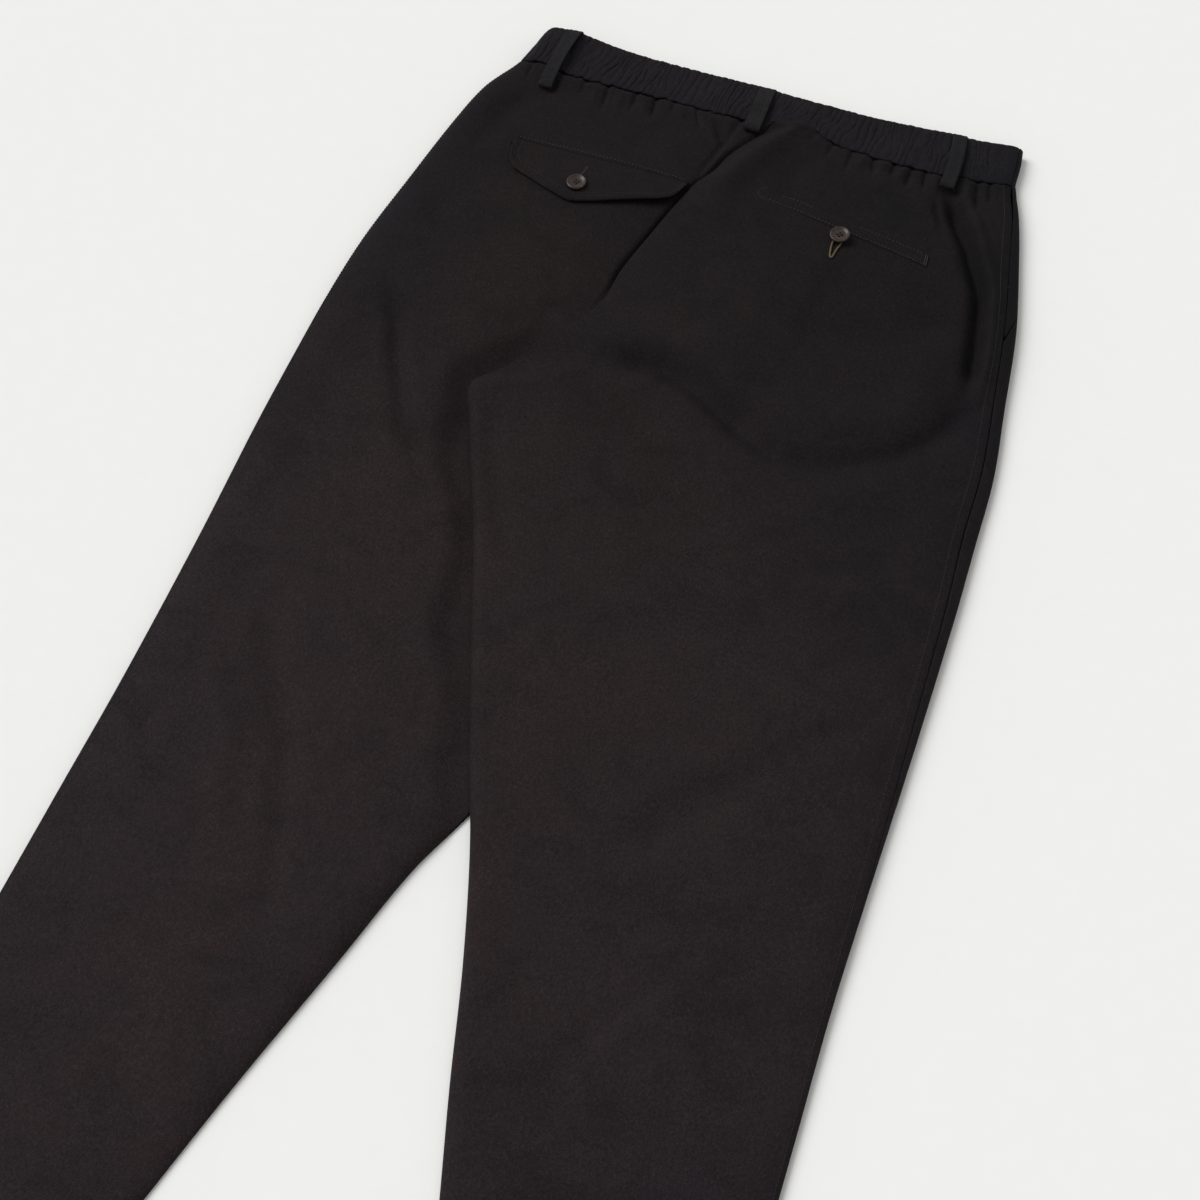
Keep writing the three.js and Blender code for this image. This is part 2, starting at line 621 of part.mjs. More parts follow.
// Buttoned flap, cut with a point below its button
const FLAP = { thick: 2, left: -170, right: -31, top: 132, end: 7, lift: 2.5 };
const FLAP_EDGE = [
  [-167, 147], [-163, 161], [-148, 168], [-129, 176], [-109, 182.5],
  [-87, 175.5], [-65, 167], [-46, 159.5], [-37, 154], [-33, 146],
];
function pocketFlap(surface) {
  const edge = [[FLAP.left, FLAP.top + FLAP.end], ...FLAP_EDGE, [FLAP.right, FLAP.top + FLAP.end]];
  const rows = [0, 0.35, 0.7, 1].map((depth) => edge.map(([across, foot]) => {
    const down = THREE.MathUtils.lerp(FLAP.top, foot, depth);
    const raised = FLAP.lift * depth * ease(across + 120, 80);
    return place(across, down, clearOf(surface, across, down, 5) + GAP + FLAP.thick / 2 + raised);
  }));
  return clothWall(rows, FLAP.thick);
}

// Welt strip stitched over the right back pocket's mouth
const WELT = { thick: 1.2, left: [28, 130], right: [161, 155], deep: 13 };
function pocketWelt(surface) {
  const rows = [-0.5, 0.5].map((side) => steps(12).map((t) => {
    const across = THREE.MathUtils.lerp(WELT.left[0], WELT.right[0], t) + side * 1.5;
    const down = THREE.MathUtils.lerp(WELT.left[1], WELT.right[1], t) + side * WELT.deep;
    return place(across, down, clearOf(surface, across, down, 5) + GAP + WELT.thick / 2);
  }));
  return clothWall(rows, WELT.thick);
}

const wasm = await Module();
wasm.setup();

// A closed geometry as a solid that can be cut
function solidOf(geometry) {
  const source = geometry.index ? geometry.toNonIndexed() : geometry;
  const position = source.getAttribute('position');
  const known = new Map();
  const points = [];
  const faces = [];
  for (let i = 0; i < position.count; i += 1) {
    const corner = [position.getX(i), position.getY(i), position.getZ(i)].map((v) => Math.round(v * 1e4) / 1e4);
    const key = corner.join();
    if (!known.has(key)) {
      known.set(key, points.length / 3);
      points.push(...corner);
    }
    faces.push(known.get(key));
  }
  const whole = faces.filter((_, i) => {
    const [a, b, c] = faces.slice(i - (i % 3), i - (i % 3) + 3);
    return a !== b && b !== c && a !== c;
  });
  return new wasm.Manifold(new wasm.Mesh({
    numProp: 3,
    vertProperties: new Float32Array(points),
    triVerts: new Uint32Array(whole),
  }));
}

function geometryOf(solid) {
  const mesh = solid.getMesh();
  const geometry = new THREE.BufferGeometry();
  geometry.setAttribute('position', new THREE.BufferAttribute(new Float32Array(mesh.vertProperties), 3));
  geometry.setIndex(new THREE.BufferAttribute(new Uint32Array(mesh.triVerts), 1));
  return geometry;
}

// Four-hole horn button with a raised rim and a dished middle
const BUTTON_PROFILE = [[0, 0], [5.4, 0], [6.9, 0.7], [7.5, 1.6], [7.3, 2.5], [6.6, 2.8], [5.8, 2.4], [4.6, 1.7], [0, 1.5]];
function button() {
  const profile = BUTTON_PROFILE.map(([r, z]) => new THREE.Vector2((r * BUTTON_R) / 7.5, z));
  let disc = solidOf(new THREE.LatheGeometry(profile, 20).rotateX(Math.PI / 2));
  for (const quarterTurn of [0, 1, 2, 3]) {
    const angle = (quarterTurn + 0.5) * (Math.PI / 2);
    const hole = new THREE.CylinderGeometry(0.75, 0.75, 6, 8).rotateX(Math.PI / 2);
    hole.translate(1.9 * Math.cos(angle), 1.9 * Math.sin(angle), 1);
    disc = disc.subtract(solidOf(hole));
  }
  return geometryOf(disc);
}

// Belt loop: a folded strap over the waistband, hooked on its upper edge and sewn to the panel below
const LOOP = { wide: 10, thick: 2 };
function beltLoop(across, panel, foot, stand) {
  const top = bandTop(across) - 0.6;
  const band = bandHeight(across) - bandSink(across, 0) + BAND_THICK / 2 + BAND_WAVE_RISE + GAP + 0.2;
  const low = bandHeight(across) + BAND_THICK / 2 + BAND_WAVE_RISE + GAP;
  const landing = Math.max(...[-6, 0, 6].flatMap((a) => [foot - 9, foot - 3, foot + 1].map((d) => panel(across + a, d))));
  const under = [
    [top, band - 4],
    [top, band],
    [top + 10, band + stand],
    [BAND_FOOT - 9, low + stand],
    [foot - 8, Math.max(landing, low) * 0.5 + landing * 0.5 + GAP],
    [foot, landing + GAP],
  ];
  const over = [
    [foot, landing + GAP + LOOP.thick + 0.6],
    [foot - 7, Math.max(landing, low) * 0.5 + landing * 0.5 + GAP + LOOP.thick + 0.8],
    [BAND_FOOT - 8, low + stand + LOOP.thick],
    [top + 9, band + stand + LOOP.thick],
    [top - 1, band + LOOP.thick],
    [top - LOOP.thick, band + LOOP.thick * 0.4],
    [top - LOOP.thick, band - 4],
  ];
  const outline = new THREE.Shape([...under, ...over].map(([down, height]) => new THREE.Vector2(-down, height)));
  const strap = new THREE.ExtrudeGeometry(outline, { depth: LOOP.wide, bevelEnabled: false });
  strap.applyMatrix4(new THREE.Matrix4().set(0, 0, 1, across - LOOP.wide / 2, 1, 0, 0, 0, 0, 1, 0, 0, 0, 0, 0, 1));
  return strap;
}

// Thread loop round the welt button's shank, its two strands meeting below the button
function threadLoop(centre, surface) {
  const strand = 1;
  const at = (across, down) => {
    const height = clearOf(surface, centre.across + across, centre.down + down, 1.5) + GAP + strand + 0.1;
    return place(centre.across + across, centre.down + down, height);
  };
  const strands = [[-3, 2], [-3.4, 7], [-2.6, 12], [-1.9, 15], [-0.4, 16.6], [1.1, 15], [1.7, 12], [2.6, 7], [2.6, 2]];
  const route = new THREE.CatmullRomCurve3(strands.map(([across, down]) => at(across, down)));
  const around = steps(6).slice(1).map((t) => t * 2 * Math.PI);
  const section = new THREE.Shape(around.map((angle) => new THREE.Vector2(Math.cos(angle), Math.sin(angle)).multiplyScalar(strand)));
  return new THREE.ExtrudeGeometry(section, { steps: 20, extrudePath: route, bevelEnabled: false });
}

// Colours, roughness and metalness
const MATERIALS = {
  cloth: { color: 0x26211f, roughness: 0.9, metalness: 0 },
  band: { color: 0x28232a, roughness: 0.9, metalness: 0 },
  horn: { color: 0x6b4d3c, roughness: 0.35, metalness: 0 },
  thread: { color: 0x8a7440, roughness: 0.8, metalness: 0 },
};

const garment = new THREE.Group();
function addPart(name, geometry, material) {
  const mesh = new THREE.Mesh(geometry, new THREE.MeshStandardMaterial(MATERIALS[material]));
  mesh.name = name;
  garment.add(mesh);
  return mesh;
}

const backLeft = clothWall(ALL_ROWS.map(backLeftRow));
const backRight = clothWall(ALL_ROWS.map(backRightRow));
const onLeft = surfaceOf(backLeft);
const onRight = surfaceOf(backRight);
addPart('back_left', backLeft, 'cloth');
addPart('back_right', backRight, 'cloth');
addPart('front_left', clothWall(turnedOver(ALL_ROWS.map(frontLeftRow))), 'cloth');
addPart('front_right', clothWall(turnedOver(ALL_ROWS.map(frontRightRow))), 'cloth');
addPart('pocket_facing_left', clothWall(turnedOver(FACING_ROWS.map((down) => facingRow(-1, down)))), 'cloth');
addPart('pocket_facing_right', clothWall(turnedOver(FACING_ROWS.map((down) => facingRow(1, down)))), 'cloth');
addPart('waistband_back', waistbandBack(), 'band');
addPart('waistband_front', waistbandFront(), 'band');
addPart('belt_loop_left', beltLoop(-167, onLeft, 63, 1.5), 'cloth');
addPart('belt_loop_centre', beltLoop(-7, onLeft, 58, 1.5), 'cloth');
addPart('belt_loop_right', beltLoop(152, onRight, 65, 1.5), 'cloth');

const flap = pocketFlap(onLeft);
const welt = pocketWelt(onRight);
addPart('pocket_flap', flap, 'cloth');
addPart('pocket_welt', welt, 'cloth');

const FLAP_BUTTON = { across: -109, down: 165 };
const flapButton = addPart('flap_button', button(), 'horn');
flapButton.position.copy(place(FLAP_BUTTON.across, FLAP_BUTTON.down, clearOf(surfaceOf(flap), FLAP_BUTTON.across, FLAP_BUTTON.down, 6) + GAP));

const WELT_BUTTON = { across: 94, down: 158 };
const weltTop = surfaceOf(welt);
const nearWelt = (across, down) => Math.max(weltTop(across, down), onRight(across, down));
addPart('thread_loop', threadLoop(WELT_BUTTON, nearWelt), 'thread');
const weltButton = addPart('welt_button', button(), 'horn');
weltButton.position.copy(place(WELT_BUTTON.across, WELT_BUTTON.down, clearOf(nearWelt, WELT_BUTTON.across, WELT_BUTTON.down, 6) + 3));

garment.position.set(-ORIGIN_ACROSS, ORIGIN_DOWN, 0);
export default garment;
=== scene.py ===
# Trousers in dark charcoal cotton twill with an elastic back waist, laid flat on their front,
# the right leg over the left. Four leg panels and a two-part waistband are cut and sewn, with
# belt loops, a buttoned flap pocket, a buttoned welt pocket and slanted front pockets.
import math
import bpy
import bmesh
import numpy as np
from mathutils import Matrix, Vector
from mathutils.bvhtree import BVHTree


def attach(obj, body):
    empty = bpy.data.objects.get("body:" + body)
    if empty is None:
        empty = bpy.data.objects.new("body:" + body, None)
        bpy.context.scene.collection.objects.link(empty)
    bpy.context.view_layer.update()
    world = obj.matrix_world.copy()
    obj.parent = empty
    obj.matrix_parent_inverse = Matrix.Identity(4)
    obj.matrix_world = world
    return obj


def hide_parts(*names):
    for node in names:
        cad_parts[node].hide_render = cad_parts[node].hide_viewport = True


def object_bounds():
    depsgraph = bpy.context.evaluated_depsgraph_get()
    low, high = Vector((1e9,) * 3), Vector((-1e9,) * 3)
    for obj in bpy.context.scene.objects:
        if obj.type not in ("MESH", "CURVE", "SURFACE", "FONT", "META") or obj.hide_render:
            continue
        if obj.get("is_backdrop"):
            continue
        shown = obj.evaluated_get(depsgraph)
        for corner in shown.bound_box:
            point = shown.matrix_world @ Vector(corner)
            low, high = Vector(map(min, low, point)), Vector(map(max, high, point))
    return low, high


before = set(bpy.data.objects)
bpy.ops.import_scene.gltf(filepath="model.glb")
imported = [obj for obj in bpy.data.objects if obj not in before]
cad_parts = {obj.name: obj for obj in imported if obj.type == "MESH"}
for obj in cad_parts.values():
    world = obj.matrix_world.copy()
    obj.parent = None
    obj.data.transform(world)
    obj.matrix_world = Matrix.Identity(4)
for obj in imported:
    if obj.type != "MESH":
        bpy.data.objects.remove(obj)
solid_box = [list(corner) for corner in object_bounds()]

# Left back leg: one panel of cotton twill from the waist seam to the hem, with the left half of
# the seat. It lies on the left front and is pressed flat where the right leg crosses it.
# Sizes are in millimetres, across from the middle of the back and down from above the band.
MIDDLE_ACROSS, MIDDLE_DOWN = 13.0, 544.7
TWILL_THICK = 0.9
FLOOR_LAYER = 0.6
BETWEEN = 1.15
WAIST_SEAM = 49.2
CROTCH = 372.0
ON_LEG = 345.0
HEM = 1052.0
PRESSED = 3.0

OUTLINE_DOWN = [12, 49, 82, 120, 190, 260, 325, 385, 450, 560, 680, 770, 855, 960, 1052]
OUTLINE = {
    "left": [-189, -197, -213, -222, -233, -243, -247, -248, -248, -246, -246, -248, -250, -253, -257],
    "right": [194, 201, 212, 222, 238, 248, 257, 260, 263, 266, 268, 270, 274, 279, 284],
    "left_top": [11.5, 11.5, 12, 13, 14, 14, 12, 10, 10, 9.5, 9, 9, 8.5, 7.4, 6.4],
    "right_top": [11.5, 11.5, 14, 15, 16, 15, 13, 13.5, 14, 13.5, 12, 10, 9, 7.4, 6.4],
    "turn": [10, 11, 16, 21, 26, 28, 28, 28, 28, 27, 26, 25, 22, 17, 12],
    "belly": [6, 6, 6, 5.5, 5, 4.5, 4.5, 4.5, 4.5, 4, 4, 4, 3.6, 3, 2.8],
    "seam": [40, 40, 45, 48, 48, 44, 45, 46, 40, 32, 15, -10, -30, -38, -38],
}
CROSSING_DOWN = [
    49, 73, 93, 115, 133, 186, 234, 261, 293, 324, 345, 362, 374, 390, 424, 481, 577, 667, 721, 805,
    885, 960, 1079,
]
CROSSING = {
    "across": [
        14, 0, -10, -17, -27, -40, -50, -52, -64, -88, -105, -117, -117, -110, -96, -72, -37, -4, 17, 44,
        66, 88, 122,
    ],
    "round": [8, 12, 15, 17, 18, 22, 26, 32, 40, 42, 34, 18, 12, 9, 7.5, 7.5, 8, 9, 10, 11, 12, 12, 12],
}
INNER_DOWN = [
    49, 66, 93, 133, 186, 234, 285, 312, 330, 345, 370, 390, 422, 502, 602, 708, 752, 829, 926, 1016, 1071,
]
INNER = {
    "back": [12, 14, 10, 0, -16, -26, -38, -46, -34, 8, 82, 112, 106, 79, 44, 6, -11, -31, -57, -79, -92],
    "front": [0, 0, 0, 0, 0, 0, 0, 0, 18, 42, 88, 112, 106, 79, 44, 6, -11, -31, -57, -79, -92],
}


def smooth_line(downs, values):
    x, y = np.array(downs, float), np.array(values, float)
    last = len(x) - 1
    low, high = np.maximum(np.arange(last + 1) - 1, 0), np.minimum(np.arange(last + 1) + 1, last)
    slope = (y[high] - y[low]) / (x[high] - x[low])

    def at(down):
        d = np.clip(np.asarray(down, float), x[0], x[-1])
        i = np.clip(np.searchsorted(x, d, side="right") - 1, 0, last - 1)
        h = x[i + 1] - x[i]
        t = (d - x[i]) / h
        keep = (1 + 2 * t) * (1 - t) ** 2 * y[i] + t * t * (3 - 2 * t) * y[i + 1]
        return keep + h * t * (1 - t) * ((1 - t) * slope[i] - t * slope[i + 1])

    return at


edge_at = {name: smooth_line(OUTLINE_DOWN, values) for name, values in OUTLINE.items()}
crossing_at = {name: smooth_line(CROSSING_DOWN, values) for name, values in CROSSING.items()}
inner_at = {name: smooth_line(INNER_DOWN, values) for name, values in INNER.items()}


def ease(length, over):
    t = np.clip(np.asarray(length, float) / over, 0, 1)
    return t * t * (3 - 2 * t)


def quarter_round(length, over):
    return np.sqrt(1 - (1 - np.clip(length / over, 0, 1)) ** 2)


def blend(a, b, t):
    return a + (b - a) * t


def bell(away, half):
    return np.exp(-((away / half) ** 2))


def patches(x, y, seed):
    """Smooth uneven patches, about -1 to 1, one to each whole step of x and y."""
    x, y = np.broadcast_arrays(np.asarray(x, float), np.asarray(y, float))
    table = np.random.default_rng(seed).uniform(-1, 1, (256, 256))
    ix, iy = np.floor(x).astype(int), np.floor(y).astype(int)
    tx, ty = ease(x - ix, 1), ease(y - iy, 1)
    corner = lambda a, b: table[(ix + a) % 256, (iy + b) % 256]
    upper = blend(corner(0, 0), corner(1, 0), tx)
    return blend(upper, blend(corner(0, 1), corner(1, 1), tx), ty)


def creases(rows, across, down):
    """Height that soft troughs and ridges add. Each is a rise, half its width, and a line."""
    across, down = np.broadcast_arrays(np.asarray(across, float), np.asarray(down, float))
    total = np.zeros(across.shape)
    for rise, half, line in rows:
        away = np.full(across.shape, np.inf)
        along = np.zeros(across.shape)
        run = 0.0
        for (ax, ad), (bx, bd) in zip(line[:-1], line[1:]):
            dx, dd = bx - ax, bd - ad
            size = math.hypot(dx, dd)
            t = np.clip(((across - ax) * dx + (down - ad) * dd) / size**2, 0, 1)
            distance = np.hypot(across - ax - t * dx, down - ad - t * dd)
            closer = distance < away
            away = np.where(closer, distance, away)
            along = np.where(closer, run + t * size, along)
            run += size
        ends = np.minimum(along, run - along)
        total += rise * bell(away, half) * (0.3 + 0.7 * ease(ends, min(25, run / 3)))
    return total


def swells(rows, across, down):
    """Height that round swellings add. Each is a rise, its middle, and half its size each way."""
    total = 0.0
    for rise, at_across, at_down, wide, deep in rows:
        total = total + rise * np.exp(-(((across - at_across) / wide) ** 2) - ((down - at_down) / deep) ** 2)
    return total


LEFT_SWELLS = [(4, -110, 260, 75, 70), (2, -130, 480, 70, 90)]
LEFT_CREASES = [
    (-4.4, 4.2, [(-38, 44), (-27, 66), (-17, 84)]),
    (-3.5, 12, [(-169, 70), (-186, 98), (-196, 140)]),
    (-5.2, 8, [(-206, 300), (-184, 338), (-176, 362), (-148, 417), (-118, 447)]),
    (-4.0, 12, [(-221, 584), (-178, 592), (-150, 640), (-127, 676)]),
    (1.6, 12, [(-205, 330), (-172, 372), (-140, 412)]),
    (-2.2, 8, [(-177, 626), (-127, 676), (-100, 757), (-83, 828)]),
    (1.6, 9, [(-200, 640), (-160, 700), (-138, 780)]),
    (-1.4, 8, [(-99, 240), (-82, 280), (-92, 330)]),
    (-1.7, 9, [(-215, 210), (-190, 232), (-160, 240)]),
    (1.4, 9, [(-208, 440), (-170, 470), (-130, 480)]),
    (-1.7, 8, [(-222, 700), (-200, 730), (-170, 742)]),
    (-1.6, 10, [(-232, 850), (-190, 880), (-150, 885)]),
    (1.3, 9, [(-215, 930), (-180, 960), (-150, 1000)]),
]
GATHER_TOP, RIDGE_TOP = 43, 52


def gathers(rows):
    """Small troughs and ridges that hang from the waist seam: rise, half width, across at the
    top, and across and down at the foot."""
    return [
        (rise, half, [(top, RIDGE_TOP if rise > 0 else GATHER_TOP), (foot, low)])
        for rise, half, top, foot, low in rows
    ]


LEFT_GATHERS = gathers([
    (-1.7, 1.8, -122, -119, 78), (-2.2, 2.0, -99, -98, 70), (-2.7, 2.2, -84, -80, 72),
    (-1.4, 1.7, -69, -67, 62), (-1.6, 2.0, -53, -42, 70), (-1.7, 2.2, -140, -139, 66),
    (-1.9, 2.6, -158, -163, 76), (-1.2, 1.8, -182, -186, 70), (1.3, 3.1, -91, -88, 72),
    (1.2, 3.3, -110, -108, 74), (1.0, 3.2, -131, -128, 70), (1.2, 3.5, -62, -57, 68),
])
# How far the elastic lets the waist seam hang below its level, along the back
SEAM_HANG_ACROSS = [-205, -180, -160, -130, -110, -60, -5, 8, 20, 32, 44, 55, 95, 130, 150, 165, 205]
SEAM_HANG = [-1.5, 2.5, 5.4, 5.0, 4.2, 3.6, 4.8, 3.0, -4.0, -6.5, -1.5, 5.4, 9.6, 11.8, 11.6, 8.8, 5.0]
seam_hang = smooth_line(SEAM_HANG_ACROSS, SEAM_HANG)


def seam_wave(across):
    """The small waves that the gathers put into the seam."""
    return 1.9 * patches(across / 8.5, 0.5, 11) + 1.1 * patches(across / 3.6, 7.5, 12)


def hang_from_seam(grid, d):
    """Lowers a panel's top rows with the waist seam, fading out below it."""
    across = grid[..., 0]
    grid[..., 1] -= seam_hang(across) * ease(72 - (d - WAIST_SEAM), 72)
    grid[..., 1] -= seam_wave(across) * ease(40 - (d - WAIST_SEAM), 40) ** 3


def seam_tuck(across, down):
    """The panel dives under the band at the seam and puffs up just below it."""
    puff = 1.0 - 0.5 * ease(across - 44, 12) + 0.75 * patches(across / 8.5, 3.5, 14)
    below = down - WAIST_SEAM
    bulge = bell(across - 30, 13)
    dive = (1.7 - 0.5 * ease(across - 40, 20) + 1.0 * patches(across / 6.5, 8.5, 15)) * (1 - 0.9 * bulge)
    puff = puff + 2.4 * bulge * (1 + 0.5 * patches(across / 5, 2.5, 16))
    return puff * bell(below - 5.2, 4.2) - dive * bell(np.maximum(below, 0), 1.4)


def band_height(across):
    wide = np.where(np.asarray(across) > -176, 40, 20)
    return 11.5 + 5 * bell(across + 176, wide)


def hand(across, down, seed):
    """The uneven lie of cloth: broad, then finer."""
    fade = 0.4 + 0.6 * ease(down - 60, 60)
    broad = 0.55 * patches(across / 47, down / 63, seed)
    return fade * (broad + 0.16 * patches(across / 15, down / 21, seed + 1))


def centre_pleat(across, down):
    """Beside the centre loop a narrow pleat stands up, and the cloth dives under the right seat."""
    edge = crossing_at["across"](down)
    pleat = -11 - 0.19 * (down - 50)
    wide = np.maximum(edge - pleat, 3)
    stands = 2.6 * ease(across - pleat + 0.9, 2.0) * (1 + 0.3 * ease(across - pleat, wide))
    stands = stands * (1 - ease(across - edge + 1, 8))
    foot = -1.8 * bell(across - pleat + 3.0, 2.2)
    dive = -4.6 * bell(across - edge + 1.7, 1.9)
    return (stands + foot) * (1 - ease(down - 100, 32)) + dive * (1 - ease(down - 225, 65))


def left_cloth(across, down):
    free = edge_at["left_top"](down) + swells(LEFT_SWELLS, across, down)
    free = free + creases(LEFT_CREASES, across, down) + hand(across, down, 21)
    opened = blend(band_height(across), free, ease(down - WAIST_SEAM, 26))
    edge = crossing_at["across"](down)
    lead = 9 * bell(down - 690, 45)
    lead = lead + 12 * bell(down - 432, 27) + 13 * bell(down - 572, 36)
    covered = ease(across - edge + 23 + lead, 23) * ease(down - 296, 46)
    sunk = 0.8 * ease(across - edge + 40, 60) * (1 - ease(down - 260, 60))
    lowered = blend(opened, 9, sunk)
    loose = creases(LEFT_GATHERS, across, down) + seam_tuck(across, down) + centre_pleat(across, down)
    return blend(lowered, PRESSED, covered) + loose * (1 - covered)


def fold_point(side, down, turn, cloth):
    """A point on the round outer fold, from -90 degrees underneath to 90 above."""
    swing = np.radians(turn)
    reach = np.where(np.asarray(turn) > 0, edge_at["turn"](down), 7.0) * (1 - np.cos(swing))
    across = edge_at["left"](down) + reach if side < 0 else edge_at["right"](down) - reach
    belly = edge_at["belly"](down)
    rest = np.where(np.asarray(turn) > 0, cloth(across, down) - belly, belly - FLOOR_LAYER)
    return np.stack(np.broadcast_arrays(across, -down, belly + rest * np.sin(swing)), axis=-1)


def hang(down, drop):
    """How much lower the inner side of a leg lies than its outer side."""
    return drop * np.maximum(0, (down - CROTCH) / (HEM - CROTCH))


LEFT_DROP, RIGHT_DROP = 19, 27
LEFT_SEAM_TURN = -48.0
top_rows = WAIST_SEAM + np.array([-1.2, -0.6, 0, 0.6, 1.2, 1.9, 2.7, 3.6])
leg_downs = np.concatenate([
    top_rows, np.arange(WAIST_SEAM + 4.8, 92, 1.5), np.arange(92, 400, 3.8),
    np.arange(400, HEM - 34, 7.2), np.linspace(HEM - 34, HEM, 12),
])
INNER_INSETS = np.array([
    34, 31.5, 29.6, 28, 26.6, 25.3, 24, 22.4, 20.4, 18, 15.5, 13, 10.5, 8, 6, 4.2, 2.8, 1.7, 0.8, 0,
])


def left_back_grid():
    d = leg_downs[:, None]
    turns = np.linspace(LEFT_SEAM_TURN, 88, 24)[None, :]
    fold = fold_point(-1, d + 0 * turns, turns + 0 * d, left_cloth)
    start = edge_at["left"](d) + edge_at["turn"](d)
    low = d + hang(d, LEFT_DROP)
    inner = inner_at["back"](low)
    t = np.linspace(0, 1, 158)[None, 1:]
    across = blend(start, inner - INNER_INSETS[0], t)
    slope = (low - d) / (inner - start)
    at = d + slope * (across - start)
    flat = np.stack([across, -at, left_cloth(across, at)], axis=-1)
    across = inner - INNER_INSETS[None, 1:]
    at = d + slope * (across - start)
    full = left_cloth(across, at)
    shut = blend(FLOOR_LAYER + BETWEEN, full, quarter_round(INNER_INSETS[None, 1:], 20))
    height = blend(full, shut, ease(d - 330, 60))
    edge = np.stack([across, -at, height], axis=-1)
    grid = np.concatenate([fold, flat, edge], axis=1)
    hang_from_seam(grid, d)
    return grid


def run_of(line):
    """How far along a line each of its points is."""
    return np.concatenate([[0], np.cumsum(np.linalg.norm(np.diff(line, axis=0), axis=1))])


def walk(line, distances, carried=None):
    """The points at these distances along a line, or what its points carry there."""
    run = run_of(line)
    values = line if carried is None else carried
    return np.stack([np.interp(distances, run, column) for column in values.T], axis=-1)


FELLED_WIDE, FELLED_LIFT = 7, 0.4


def felled_seam(grid, way):
    """Lift of the second layer along the left edge of a grid (way 1) or the right one (way -1)."""
    run = np.array([run_of(row) for row in grid[:, ::way]])[:, ::way]
    return FELLED_LIFT * (1 - ease(run - FELLED_WIDE + 0.6, 1.2)) - 0.5 * bell(run, 0.9)


def facing_of(grid):
    """Which way the cloth faces at each point of a grid."""
    normal = np.cross(np.gradient(grid, axis=0), np.gradient(grid, axis=1))
    return normal / np.maximum(np.linalg.norm(normal, axis=2, keepdims=True), 1e-9)


def in_frame(points):
    return (points + np.array([-MIDDLE_ACROSS, MIDDLE_DOWN, 0.0])) / 1000


def new_piece(name, points, faces):
    mesh = bpy.data.meshes.new(name)
    mesh.from_pydata(points, [], faces)
    mesh.polygons.foreach_set("use_smooth", np.ones(len(mesh.polygons), bool))
    mesh.update()
    piece = bpy.data.objects.new(name, mesh)
    bpy.context.scene.collection.objects.link(piece)
    return piece


def spot_at(across, down):
    return (across - MIDDLE_ACROSS) / 1000, (MIDDLE_DOWN - down) / 1000


def cloth_wall(name, grid, thick=TWILL_THICK):
    """A closed cloth wall round a grid of middle points, whose columns run from left to right."""
    rows, cols = grid.shape[:2]
    normal = facing_of(grid)
    outer, inner = grid + normal * thick / 2, grid - normal * thick / 2
    points = in_frame(np.concatenate([outer.reshape(-1, 3), inner.reshape(-1, 3)]))
    index = np.arange(rows * cols).reshape(rows, cols)
    quads = lambda a, b, c, d: np.stack([a.ravel(), b.ravel(), c.ravel(), d.ravel()], axis=1)
    o, i = index, index + rows * cols
    faces = [
        quads(o[:-1, :-1], o[1:, :-1], o[1:, 1:], o[:-1, 1:]),
        quads(i[:-1, 1:], i[1:, 1:], i[1:, :-1], i[:-1, :-1]),
        quads(o[0, :-1], o[0, 1:], i[0, 1:], i[0, :-1]),
        quads(o[-1, 1:], o[-1, :-1], i[-1, :-1], i[-1, 1:]),
        quads(o[1:, 0], o[:-1, 0], i[:-1, 0], i[1:, 0]),
        quads(o[:-1, -1], o[1:, -1], i[1:, -1], i[:-1, -1]),
    ]
    return new_piece(name, points.tolist(), np.concatenate(faces).tolist())


class Nodes:
    """A material's node tree, with short ways to add and join its nodes."""

    def __init__(self, name):
        self.material = bpy.data.materials.new(name)
        self.material.use_nodes = True
        self.tree = self.material.node_tree
        self.shader = self.tree.nodes["Principled BSDF"]

    def add(self, kind, **sockets):
        node = self.tree.nodes.new("ShaderNode" + kind)
        self.fit(node, sockets)
        return node

    def shade(self, **sockets):
        self.fit(self.shader, sockets)

    def fit(self, node, sockets):
        for socket, value in sockets.items():
            self.join(value, node.inputs[socket.replace("_", " ")])

    def join(self, value, target):
        if hasattr(value, "links"):
            self.tree.links.new(value, target)
        else:
            target.default_value = value

    def ramp(self, factor, stops):
        node = self.tree.nodes.new("ShaderNodeValToRGB")
        self.tree.links.new(factor, node.inputs["Fac"])
        while len(node.color_ramp.elements) < len(stops):
            node.color_ramp.elements.new(0.5)
        for element, (place, colour) in zip(node.color_ramp.elements, stops):
            element.position, element.color = place, (*colour, 1)
        return node.outputs["Color"]

    def span(self, value, low, high, to_low=0.0, to_high=1.0):
        node = self.add("MapRange", Value=value, From_Min=low, From_Max=high, To_Min=to_low, To_Max=to_high)
        return node.outputs["Result"]

    def mix(self, kind, factor, a, b):
        node = self.tree.nodes.new("ShaderNodeMix")
        node.data_type, node.blend_type = "RGBA", kind
        for socket, value in zip((0, 6, 7), (factor, a, b)):
            self.join(value, node.inputs[socket])
        return node.outputs[2]


